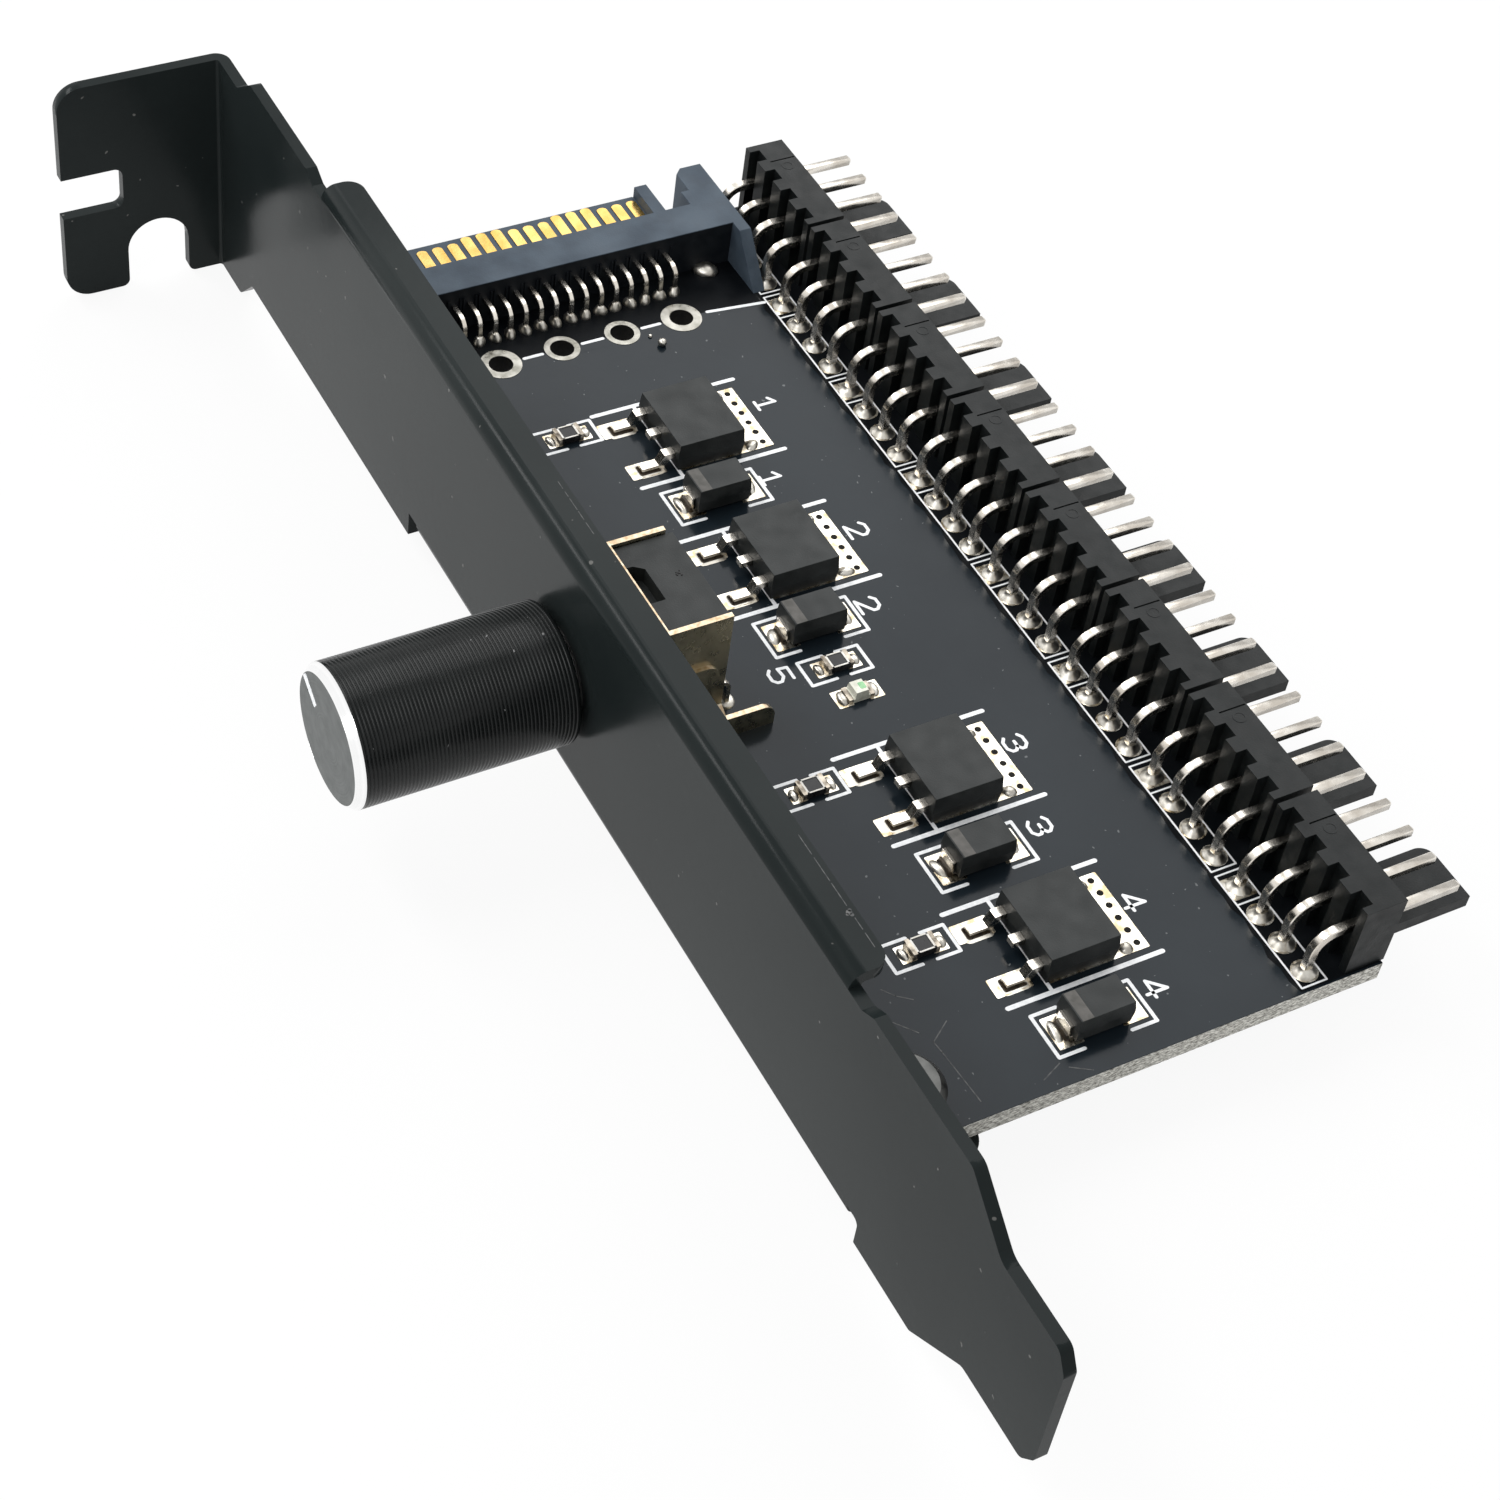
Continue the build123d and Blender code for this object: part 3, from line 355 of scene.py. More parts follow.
# Materials of the CAD nodes, by name or by how the name starts
cad_materials = {
    "bracket": paint, "bracket_screws": screw_finish, "circuit_board": board_finish,
    "plug_housing": moulded_grey, "plug_contacts": gold, "pot_frame": khaki_metal, "pot_body": epoxy,
    "pot_bushing": bushing_finish, "pot_track": carbon, "pot_terminals": bright_tin,
    "pot_rotor": moulded_black, "pot_wiper": brass, "pot_shaft": shaft_metal,
    "knob_insert": moulded_black, "knob_cap": barrel, "led": lamp_body,
}
family_materials = (
    ("header_pins", bright_tin), ("header_", moulded_black), ("transistor_leads", bright_tin),
    ("transistor_", epoxy), ("diode_leads", bright_tin), ("diode_", epoxy), ("resistor_", resistor_glaze),
)
for name, node in nodes.items():
    material = cad_materials.get(name)
    if material is None:
        material = next(finish for start, finish in family_materials if name.startswith(start))
    node.data.materials.clear()
    node.data.materials.append(material)


# Mesh helpers
def piece(name, bm, material, body="hub", smooth=40):
    """Turns mesh code into a named piece that rides on a body."""
    bmesh.ops.recalc_face_normals(bm, faces=bm.faces[:])
    mesh = bpy.data.meshes.new(name)
    bm.to_mesh(mesh)
    bm.free()
    obj = bpy.data.objects.new(name, mesh)
    bpy.context.scene.collection.objects.link(obj)
    mesh.materials.append(material)
    if smooth:
        mesh.polygons.foreach_set("use_smooth", [True] * len(mesh.polygons))
        mesh.set_sharp_from_angle(angle=math.radians(smooth))
    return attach(obj, body)


def join_loops(bm, near, far):
    """Faces between two closed loops of vertices."""
    for index in range(len(near)):
        after = (index + 1) % len(near)
        bm.faces.new((near[index], near[after], far[after], far[index]))


def rings_to_faces(bm, rings):
    """Closed form through rings of points, with a flat face at each end."""
    loops = [[bm.verts.new(point) for point in ring] for ring in rings]
    for near, far in zip(loops, loops[1:]):
        join_loops(bm, near, far)
    bm.faces.new(loops[0][::-1])
    bm.faces.new(loops[-1])


def circle_shares(count):
    """Cosine and sine of evenly spaced angles round a circle."""
    angles = [2 * math.pi * k / count for k in range(count)]
    return [(math.cos(angle), math.sin(angle)) for angle in angles]


def arc(x, y, radius, start, sweep, steps, heading=0.0):
    """Points of an arc; start and sweep are in degrees, and the heading that turns it is in radians."""
    points = []
    for step in range(steps + 1):
        angle = heading + math.radians(start + sweep * step / steps)
        points.append((x + radius * math.cos(angle), y + radius * math.sin(angle)))
    return points


def prism(bm, outline, low, high):
    """Upright prism over an outline of (along, depth) points."""
    rings_to_faces(bm, [[at(x, y, z) for x, y in outline] for z in (low, high)])


def box_outline(x0, x1, y0, y1, radius=0.0, steps=4):
    """Rectangle, with rounded corners where a radius is given."""
    if radius <= 0:
        return [(x0, y0), (x1, y0), (x1, y1), (x0, y1)]
    corners = ((x1 - radius, y1 - radius, 0), (x0 + radius, y1 - radius, 90),
               (x0 + radius, y0 + radius, 180), (x1 - radius, y0 + radius, 270))
    outline = []
    for x, y, start in corners:
        outline += arc(x, y, radius, start, 90, steps)
    return outline


def slab(bm, x0, x1, y0, y1, low, high, radius=0.0):
    """Rectangular plate between two heights."""
    prism(bm, box_outline(x0, x1, y0, y1, radius), low, high)


def centred_slab(bm, along, half, ends, low, high, radius=0.0):
    """Plate with its middle at a place along the board, between two depths in either order."""
    first, last = sorted(ends)
    slab(bm, along - half, along + half, first, last, low, high, radius)


def line(bm, start, end, width, low=0.0, high=ink_height):
    """Round-ended ink line between two (along, depth) points."""
    start, end = Vector(start), Vector(end)
    direction = (end - start).normalized()
    heading = math.atan2(direction.y, direction.x)
    outline = []
    for centre, turn in ((end, -90), (start, 90)):
        outline += arc(centre.x, centre.y, width / 2, turn, 180, 6, heading)
    prism(bm, outline, low, high)


def path_lines(bm, path, width):
    """Ink lines along a path, by turns a little lower so that no tops coincide."""
    for index, (start, end) in enumerate(zip(path, path[1:])):
        line(bm, start, end, width, 0.0, ink_height - 0.003 * (index % 2))


def disc(bm, along, depth, radius, low, high, count=24):
    """Flat round plate."""
    outline = [(along + radius * cosine, depth + radius * sine) for cosine, sine in circle_shares(count)]
    prism(bm, outline, low, high)


def washer(bm, along, depth, inner, outer, low, high, count=40):
    """Flat ring round an upright axis."""
    section = ((inner, low), (outer, low), (outer, high), (inner, high))
    loops = [
        [bm.verts.new(at(along + reach * cosine, depth + reach * sine, height)) for reach, height in section]
        for cosine, sine in circle_shares(count)
    ]
    for near, far in zip(loops, loops[1:] + loops[:1]):
        join_loops(bm, near, far)


def mound(bm, along, depth, profile, count=16, wobble=0.0, stretch=(1, 1)):
    """Solder mound: rings of (radius, height) round an upright axis, a little uneven on request."""
    phase = random.uniform(0, 6.28)
    rings = []
    for radius, height in profile:
        ring = []
        for k in range(count):
            angle = 2 * math.pi * k / count
            reach = radius * (1 + wobble * math.sin(2 * angle + phase))
            x = along + stretch[0] * reach * math.cos(angle)
            y = depth + stretch[1] * reach * math.sin(angle)
            ring.append(at(x, y, height))
        rings.append(ring)
    rings_to_faces(bm, rings)


def below(*profile):
    """Profile of a mound under the board, from (radius, depth below its underside)."""
    return [(radius, -board_thickness - drop) for radius, drop in profile]


def skirt(bm, along, half, first, last, spread, low, high):
    """Low fillet round a rectangular lead foot, steeper towards the foot."""
    rings = []
    for share, climb in ((1.0, 0.0), (0.45, 0.25), (0.12, 0.65), (0.0, 1.0)):
        wide = spread * share
        height = low + climb * (high - low)
        outline = box_outline(
            along - half - wide, along + half + wide, first - wide, last + wide, 0.05 + wide * 0.8, 3)
        rings.append([at(x, y, height) for x, y in outline])
    rings_to_faces(bm, rings)


def strip(bm, path, side, width, thickness, corner, taper=0.0):
    """Wire of rectangular section with bevelled corners along a flat path whose first end may taper."""
    side = Vector(side).normalized()
    rings = []
    for index, point in enumerate(path):
        before, after = path[max(index - 1, 0)], path[min(index + 1, len(path) - 1)]
        normal = (after - before).normalized().cross(side)
        shrink = taper if index == 0 else 0.0
        wide, thick = (width / 2 - shrink) * mm, (thickness / 2 - shrink) * mm
        cut = min(corner * mm, wide * 0.6, thick * 0.6)
        ring = []
        for right, up, side_first in ((1, 1, True), (-1, 1, False), (-1, -1, True), (1, -1, False)):
            points = [(right * wide, up * (thick - cut)), (right * (wide - cut), up * thick)]
            for x, y in (points if side_first else points[::-1]):
                ring.append(point + side * x + normal * y)
        rings.append(ring)
    rings_to_faces(bm, rings)


def bent_path(start, corner, end, radius, steps):
    """Line from start to end with a rounded corner, in metres."""
    into, out = (corner - start).normalized() * radius, (end - corner).normalized() * radius
    centre = corner - into + out
    bend = []
    for step in range(steps + 1):
        angle = math.pi / 2 * step / steps
        bend.append(centre - out * math.cos(angle) + into * math.sin(angle))
    return [start, *bend, end]


# Fan header pins: square wire with smooth bends
header_names = sorted(name for name in nodes if name.startswith("header_pins_"))
header_starts = [local(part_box(name)[0]).x + pin_size / 2 for name in header_names]
pin_places = [start + pin * pin_pitch for start in header_starts for pin in range(pins_per_header)]
for name, start in zip(header_names, header_starts):
    bm = bmesh.new()
    for pin in range(pins_per_header):
        along = start + pin * pin_pitch
        bend = bent_path(
            at(along, pin_tip - pin_tip_length, pin_height), at(along, 0, pin_height), at(along, 0, pin_end),
            pin_bend * mm, 12)
        path = [at(along, pin_tip, pin_height), *bend]
        strip(bm, path, (1, 0, 0), pin_size, pin_size, pin_corner, pin_taper)
    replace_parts(piece("fan_" + name, bm, bright_tin), name)

# Power plug contacts: gold strips on the blade, and tinned tails that bend into the board
contact_first = -7.33
contact_pitch = 1.27
contact_depths = [contact_first - index * contact_pitch for index in range(15)]
contact_top = 2.85
contact_thickness = 0.25
contact_half = 0.42
contact_rear = 1.02
contact_tips = (-2.0, -2.4)
tip_round = 0.3
tail_start = 3.9
tail_along = 6.2
tail_top = 2.3
tail_end = -2.45
tail_bend = 0.8
tail_width = 0.4
gold_bm = bmesh.new()
tail_bm = bmesh.new()
for index, depth in enumerate(contact_depths):
    tip = contact_tips[index // 3 % 2]
    outline = [(contact_rear, depth - contact_half), (contact_rear, depth + contact_half)]
    for step in range(9):
        angle = math.pi * step / 8
        along = tip + tip_round - tip_round * math.sin(angle)
        outline.append((along, depth + contact_half * math.cos(angle)))
    prism(gold_bm, outline, contact_top - contact_thickness, contact_top)
    path = bent_path(
        at(tail_start, depth, tail_top), at(tail_along, depth, tail_top), at(tail_along, depth, tail_end),
        tail_bend * mm, 8)
    strip(tail_bm, path, (0, 1, 0), tail_width, contact_thickness, 0.05)
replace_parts(piece("plug_gold_strips", gold_bm, gold), "plug_contacts")
piece("plug_tails", tail_bm, bright_tin)

# Knob: ringed barrel with a bright turned chamfer and a grey face with an engraved pointer
knob_radius = 4.963
knob_face_radius = 4.5
knob_rear = -36.2
knob_front = -51.94
knob_chamfer = 0.62
knob_bore = 3.963
knob_rear_round = 0.3
ring_pitch = 0.272
ring_depth = 0.065
ring_first = knob_front + knob_chamfer + 0.25
ring_last = knob_rear - 0.4
ring_count = int((ring_last - ring_first) / ring_pitch)
groove_section = ((0.09, 0), (0.055, 0.3), (0.02, 1), (-0.02, 1), (-0.055, 0.3), (-0.09, 0))


def knob_turned(profile, count=128):
    """Turned form round the shaft's axis from (depth, radius) points."""
    bm = bmesh.new()
    rings_to_faces(bm, [
        [at(axis_along + radius * cosine, depth, axis_height + radius * sine)
         for cosine, sine in circle_shares(count)]
        for depth, radius in profile
    ])
    return bm


def knob_prism(corners, depths, shift=Vector((0, 0))):
    """Form along the shaft's axis, from corners round that axis and depths behind the knob's front."""
    bm = bmesh.new()
    rings_to_faces(bm, [
        [at(axis_along + corner.x + shift.x, knob_front + depth, axis_height + corner.y + shift.y)
         for corner in corners]
        for depth in depths
    ])
    return bm


def knob_barrel_profile():
    """Bore, rounded rear edge, turned grooves and front edge of the barrel."""
    profile = [(knob_front + 1.0, knob_bore), (knob_rear - 0.05, knob_bore), (knob_rear, knob_bore + 0.05)]
    profile += arc(knob_rear - knob_rear_round, knob_radius - knob_rear_round, knob_rear_round, 0, 90, 4)
    for ring in range(ring_count, -1, -1):
        depth = ring_first + ring * ring_pitch
        for offset, cut in groove_section:
            profile.append((depth + offset, knob_radius - cut * ring_depth))
    profile.append((knob_front + knob_chamfer, knob_radius))
    return profile


def engrave(obj, bm):
    """Cuts the form of some mesh code out of a piece, for good."""
    bmesh.ops.recalc_face_normals(bm, faces=bm.faces[:])
    cutter_mesh = bpy.data.meshes.new("pointer_cutter")
    bm.to_mesh(cutter_mesh)
    bm.free()
    cutter = bpy.data.objects.new("pointer_cutter", cutter_mesh)
    bpy.context.scene.collection.objects.link(cutter)
    cut = obj.modifiers.new("pointer", "BOOLEAN")
    cut.object = cutter
    cut.operation = "DIFFERENCE"
    bpy.context.view_layer.update()
    cut_mesh = bpy.data.meshes.new_from_object(obj.evaluated_get(bpy.context.evaluated_depsgraph_get()))
    obj.modifiers.clear()
    obj.data = cut_mesh
    bpy.data.objects.remove(cutter)


bm = knob_turned(knob_barrel_profile())
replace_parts(piece("knob_barrel", bm, barrel, "knob", 25), "knob_cap")
bm = knob_turned([
    (knob_front + knob_chamfer + 0.1, knob_radius - 0.4),
    (knob_front + knob_chamfer - 0.001, knob_radius - 0.001),
    (knob_front + 0.03, knob_face_radius + 0.03),
    (knob_front + 0.005, knob_face_radius - 0.02),
    (knob_front + 0.05, knob_face_radius - 0.05),
])
piece("knob_rim", bm, knob_rim_metal, "knob", 20)
disc_radius = knob_face_radius - 0.03
bm = knob_turned([(knob_front + 0.7, disc_radius), (knob_front + 0.01, disc_radius)])
face = piece("knob_face", bm, knob_face_metal, "knob", 20)

# The knob's pointer: a groove with ink on its floor, from an outer to an inner end counted from the axis. The
# groove's floor is a dark sheet of painted shade, and the ink sits off to one side so that this shade shows
# along the other
outer_end, inner_end = Vector((-3.77, 2.35)), Vector((-1.96, 1.06))
pointer_half = 0.4
pointer_run = inner_end - outer_end
across = Vector((-pointer_run.y, pointer_run.x)).normalized() * pointer_half
groove_corners = [outer_end + across, inner_end + across, inner_end - across, outer_end - across]
engrave(face, knob_prism(groove_corners, (-0.4, 0.12)))
for name, finish, share, sink, shift in (
    ("knob_pointer_groove", hole_painted_shade, 0.98, 0.1, Vector((0, 0))),
    ("knob_pointer_ink", white_ink, 0.68, 0.02, -(across * 0.3)),
):
    corners = [
        outer_end + across * share, inner_end + across * share * 0.7,
        inner_end - across * share * 0.7, outer_end - across * share,
    ]
    piece(name, knob_prism(corners, (sink, 0.125), shift), finish, "knob", 0)

# Places of the small parts and of the four plated holes
transistor_middles = [middle(f"transistor_{k}") for k in range(1, 5)]
diode_middles = [middle(f"diode_{k}") for k in range(1, 5)]
resistor_middles = [middle(f"resistor_{k}") for k in range(1, 6)]
led_middle = middle("led")
both_sides = (-1, 1)
hole_along = 9.05
hole_first = -23.37
hole_pitch = 5.08
hole_depths = [hole_first + index * hole_pitch for index in range(4)]
hole_radii = (1.6, 1.38, 1.38, 1.6)
hole_ink = 0.28


# White ink on the board
def transistor_ink(bm, centre):
    """Frame with a gap on its low side, and a cross line under the leads."""
    low, high = centre.x - 4.3, centre.x + 3.95
    near_edge, gap_start, gap_end, far_edge = -19.6, -15.3, -9.5, -7.75
    cross = -16.2
    width = 0.35
    line(bm, (low, gap_end), (low, far_edge), width)
    line(bm, (low, near_edge), (low, gap_start), width)
    line(bm, (low, cross), (high, cross), 0.28, 0.0, ink_height - 0.003)
    line(bm, (high, near_edge), (high, far_edge), width)


def diode_ink(bm, centre):
    """A bracket of ink round each end."""
    low, high = centre.x - 1.75, centre.x + 1.75
    for outer, inner in ((-18.6, -16.7), (-11.2, -13.1)):
        path_lines(bm, [(low, inner), (low, outer), (high, outer), (high, inner)], 0.26)


def resistor_ink(bm, centre):
    """A bracket of ink round each end, a little longer at the near one."""
    low, high = centre.x - 1.15, centre.x + 1.15
    for side, reach in ((-1, 2.5), (1, 2.3)):
        outer, inner = centre.y + side * reach, centre.y + side * 0.55
        path_lines(bm, [(low, inner), (low, outer), (high, outer), (high, inner)], 0.25)


def header_ink(bm, start):
    """Box round the four pins, with a line beside pin 1."""
    near, far = -0.985, 1.0
    low, high = start - 1.35, start + 8.75
    width = 0.14
    path_lines(bm, [(low, near), (high, near), (high, far), (low, far), (low, near)], width)
    line(bm, (start + 1.27, near), (start + 1.27, far), width, 0.0, ink_height - 0.005)


def hole_row_ink(bm):
    """Dashes between the plated holes, and a longer line from the last one to the headers."""
    gap = 0.3
    for index in range(len(hole_depths) - 1):
        start = hole_depths[index] + hole_radii[index] + gap
        end = hole_depths[index + 1] - hole_radii[index + 1] - gap
        line(bm, (hole_along + 0.05, start), (hole_along + 0.05, end), hole_ink)
    line(bm, (hole_along + 0.1, hole_depths[-1] + 2.2), (9.7, -1.2), hole_ink)


# Strokes of plain numbers, in shares of the digit's height
digit_height = 1.55
digit_width = 0.24
digit_strokes = {
    "1": [[(0.15, 0.75), (0.5, 1.0), (0.5, 0.0)], [(0.2, 0.0), (0.8, 0.0)]],
    "2": [[(0.0, 0.8), (0.2, 1.0), (0.6, 1.0), (0.8, 0.8), (0.8, 0.6), (0.0, 0.0), (0.85, 0.0)]],
    "3": [[(0.0, 0.85), (0.2, 1.0), (0.6, 1.0), (0.8, 0.82), (0.8, 0.66), (0.6, 0.52), (0.3, 0.52)],
          [(0.6, 0.52), (0.8, 0.36), (0.8, 0.18), (0.6, 0.0), (0.2, 0.0), (0.0, 0.15)]],
    "4": [[(0.65, 0.0), (0.65, 1.0), (0.0, 0.3), (0.9, 0.3)]],
    "5": [[(0.8, 1.0), (0.1, 1.0), (0.05, 0.55), (0.55, 0.6), (0.8, 0.4), (0.8, 0.18), (0.6, 0.0),
           (0.2, 0.0), (0.0, 0.15)]],
}
digit_places = (
    ("1", 20.0, -6.7), ("2", 34.65, -7.0), ("3", 57.0, -7.2), ("4", 72.0, -7.3),
    ("1", 27.4, -10.25), ("2", 41.6, -10.05), ("3", 64.1, -9.6), ("4", 78.6, -9.9), ("5", 45.25, -19.15),
)


def digit_ink(bm, digit, along, depth):
    """One plain number round a place."""
    for stroke in digit_strokes[digit]:
        path = [(along + (x - 0.4) * digit_height, depth + (y - 0.5) * digit_height) for x, y in stroke]
        path_lines(bm, path, digit_width)


ink = bmesh.new()
for centre in transistor_middles:
    transistor_ink(ink, centre)
for centre in diode_middles:
    diode_ink(ink, centre)
for centre in resistor_middles:
    resistor_ink(ink, centre)
for start in header_starts:
    header_ink(ink, start)
hole_row_ink(ink)
for digit, along, depth in digit_places:
    digit_ink(ink, digit, along, depth)
piece("board_ink", ink, white_ink, smooth=0)

# Painted shadow and dark reflection on the glossy board beside the plug and under the headers: a dark, nearly
# matt sheet laid where the plug and the headers darken the board
shade_sheet_height = 0.004
shade_sheet_low, shade_sheet_high = -1.45, 82.85
shade_sheet_depth, header_zone_end = -34.2, 5.15
zone_depth = -1.4
zone_notch = 1.2
wave_steps = 78
shade_sheet = bmesh.new()
outline = [(shade_sheet_low, shade_sheet_depth), (hole_along, shade_sheet_depth)]
for depth in hole_depths:
    outline += arc(hole_along, depth, zone_notch, -90, -180, 8)
outline += [(9.15, -5.9), (9.72, zone_depth), (shade_sheet_low, zone_depth)]
prism(shade_sheet, outline, 0, shade_sheet_height)
outline = [(shade_sheet_high, header_zone_end), (shade_sheet_low, header_zone_end)]
for step in range(wave_steps):
    along = shade_sheet_low + step * (shade_sheet_high - shade_sheet_low) / (wave_steps - 1)
    outline.append((along, zone_depth - 0.22 * math.sin(2.1 * step) * math.sin(0.9 * step + 1)))
prism(shade_sheet, outline, 0, shade_sheet_height + 0.001)
piece("board_shade_sheet", shade_sheet, shade_sheet_finish, smooth=0)

# Tinned pads, plated rings, and painted shade: a dark lining in the plated holes and dark dots for the vias
pad_corner = 0.08
pin_pad_radius = 0.95
square_pad_half = 0.93
under_pad_radius = 0.98
hole_radius = 0.93
lead_pad_half = 0.78
lead_pad_ends = (-19.8, -17.05)
via_depth = -8.95
via_pitch = 1.12
via_radius = 0.24
pads = bmesh.new()
plated = bmesh.new()
vias = bmesh.new()
for depth, radius in zip(hole_depths, hole_radii):
    washer(plated, hole_along, depth, hole_radius, radius, -overlap, pad_height)
    underside = (-board_thickness - pad_height, -board_thickness + overlap)
    washer(plated, hole_along, depth, hole_radius, radius, *underside)
    washer(vias, hole_along, depth, hole_radius - 0.03, hole_radius + 0.02, -board_thickness - overlap, 0.005)
for index, along in enumerate(pin_places):
    if index % pins_per_header == 0:
        ends = (-square_pad_half, square_pad_half)
        centred_slab(pads, along, square_pad_half, ends, 0, pad_height, pad_corner)
    else:
        disc(pads, along, 0, pin_pad_radius, 0, pad_height)
    disc(pads, along, 0, under_pad_radius, -board_thickness - pad_height, -board_thickness)
for centre in transistor_middles:
    slab(pads, centre.x - 3.45, centre.x + 3.3, -16.0, -8.3, 0, pad_height, 0.1)
    for side in (-2.45, 2.25):
        centred_slab(pads, centre.x + side, lead_pad_half, lead_pad_ends, 0, pad_height, 0.12)
    for step in range(6):
        along = centre.x - 2.9 + step * via_pitch
        disc(vias, along, via_depth, via_radius, 0, pad_height + 0.012, 14)
for centre in diode_middles:
    for ends in ((-18.25, -16.4), (-13.4, -11.55)):
        centred_slab(pads, centre.x, 1.3, ends, 0, pad_height, pad_corner)
chip_pads = [(centre, 0.72, 0.6, 1.75) for centre in resistor_middles] + [(led_middle, 0.8, 0.65, 1.8)]
for centre, half, near, far in chip_pads:
    for side in both_sides:
        ends = (centre.y + side * near, centre.y + side * far)
        centred_slab(pads, centre.x, half, ends, 0, pad_height, pad_corner)
piece("tinned_pads", pads, pad_tin, smooth=30)
piece("plated_rings", plated, ring_tin, smooth=30)
piece("via_holes", vias, hole_painted_shade, smooth=0)

# Solder of the pins and tails that go through the board, as (radius, height) profiles
pin_top_joint = [(0.86, pad_height - overlap), (0.8, 0.1), (0.6, 0.24), (0.46, 0.42), (0.4, 0.55)]
pin_low_joint = below((0.92, 0), (0.82, 0.2), (0.6, 0.5), (0.44, 0.85), (0.2, 1.08))
tail_top_joint = [(0.5, 0), (0.5, 0.1), (0.42, 0.3), (0.3, 0.5), (0.22, 0.62)]
tail_low_joint = below((0.5, 0), (0.45, 0.25), (0.34, 0.6), (0.2, 0.9))
joints = bmesh.new()
for along in pin_places:
    mound(joints, along, 0, pin_top_joint, 16, 0.08)
    mound(joints, along, 0, pin_low_joint, 16, 0.05)
for depth in contact_depths:
    mound(joints, tail_along, depth, tail_top_joint, 12, 0.15, (1.15, 1))
    mound(joints, tail_along, depth, tail_low_joint, 12, 0.05)

# Solder of the parts that lie on the board, and a dark skirt of painted shade round the transistor and diode
# feet
transistor_side_joint = [(0.5, 0.02), (0.42, 0.18), (0.25, 0.3), (0.05, 0.33)]
diode_joint = [(0.62, 0.02), (0.5, 0.14), (0.3, 0.26), (0.08, 0.3)]
resistor_joint = [(0.5, 0.02), (0.46, 0.14), (0.3, 0.26), (0.1, 0.3)]
led_joint = [(0.55, 0.02), (0.5, 0.15), (0.34, 0.3)]
lead_half, toe_depth, heel_depth = 0.38, -18.95, -17.55
foot_shade = bmesh.new()
for centre in transistor_middles:
    for side in (-2.29, 2.29):
        skirt(foot_shade, centre.x + side, lead_half, toe_depth, heel_depth, 0.2, 0.03, 0.26)
        skirt(joints, centre.x + side, lead_half, toe_depth, heel_depth, 0.42, 0.02, 0.11)
    for side in both_sides:
        mound(joints, centre.x + side * 2.8, -9.9, transistor_side_joint, 14, 0.2, (0.9, 1.2))
for centre in diode_middles:
    for depth, outside in ((-17.4, -1), (-12.6, 1)):
        skirt(foot_shade, centre.x, 0.72, depth - 0.1, depth + 0.1, 0.12, 0.03, 0.42)
        mound(joints, centre.x - 0.1, depth + outside * 0.42, diode_joint, 16, 0.16, (1.35, 0.75))
for centre in resistor_middles:
    for side in both_sides:
        mound(joints, centre.x, centre.y + side * 1.42, resistor_joint, 14, 0.12, (1.15, 0.62))
for side in both_sides:
    mound(joints, led_middle.x, led_middle.y + side * 1.2, led_joint, 14, 0.08, (1.2, 0.8))

# Solder of the potentiometer's terminals and of its frame's legs
terminal_pitch = 2.5
terminal_depth = local(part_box("pot_terminals")[1]).y - 0.15
terminal_top_joint = [(0.8, 0), (0.75, 0.12), (0.6, 0.25)]
terminal_low_joint = below((0.9, 0), (0.7, 0.3), (0.5, 0.7), (0.3, 1.0))
for step in (-1, 0, 1):
    mound(joints, axis_along + step * terminal_pitch, terminal_depth, terminal_top_joint, 16, 0.08)
    mound(joints, axis_along + step * terminal_pitch, terminal_depth, terminal_low_joint, 16, 0.08)
frame_low, frame_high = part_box("pot_frame")
leg_depth = -26.5
leg_top_joint = [(0.85, 0), (0.8, 0.12), (0.5, 0.35), (0.3, 0.6)]
leg_low_joint = below((0.9, 0), (0.75, 0.3), (0.5, 0.7), (0.35, 1.05))
for along in (local(frame_low).x + 0.2, local(frame_high).x - 0.2):
    mound(joints, along, leg_depth, leg_top_joint, 16, 0.12, (0.8, 1.6))
    mound(joints, along, leg_depth, leg_low_joint, 16, 0.08, (0.8, 1.5))

# Two stray balls of solder near the plated holes, and the solder foot of the plug
mound(joints, 11.4, -11.0, [(0.12, 0), (0.3, 0.1), (0.36, 0.3), (0.28, 0.5), (0.08, 0.6)], 14)
mound(joints, 10.2, -11.4, [(0.1, 0), (0.16, 0.08), (0.1, 0.18)], 10)
plug_foot_joint = [(0.8, 0.0), (0.84, 0.2), (0.64, 0.46), (0.28, 0.62), (0.04, 0.66)]
mound(joints, 4.65, -3.8, plug_foot_joint, 16, 0.12, (1.1, 1.15))
piece("solder_joints", joints, solder, smooth=60)
# Dark skirts round the lead feet: painted shade
piece("painted_foot_shade", foot_shade, foot_shade_finish, smooth=60)

# Resistor and indicator caps, diode bands, indicator window
caps = bmesh.new()
for centre in resistor_middles:
    for side in both_sides:
        ends = (centre.y + side * 0.7, centre.y + side * 1.01)
        centred_slab(caps, centre.x, 0.68, ends, off_board, 0.605, 0.06)
for side in both_sides:
    ends = (led_middle.y + side * 0.66, led_middle.y + side * 1.01)
    centred_slab(caps, led_middle.x, 0.64, ends, off_board, 0.38, 0.05)
piece("chip_caps", caps, worn_tin, smooth=30)
bands = bmesh.new()
for centre in diode_middles:
    centred_slab(bands, centre.x, 1.18, (centre.y - 1.95, centre.y - 1.1), 2.15, 2.212)
piece("diode_bands", bands, epoxy_band, smooth=0)
spot = bmesh.new()
centred_slab(spot, led_middle.x, 0.3, (led_middle.y, led_middle.y + 0.45), 0.8, 0.862, 0.08)
piece("indicator_spot", spot, lamp_green, smooth=0)

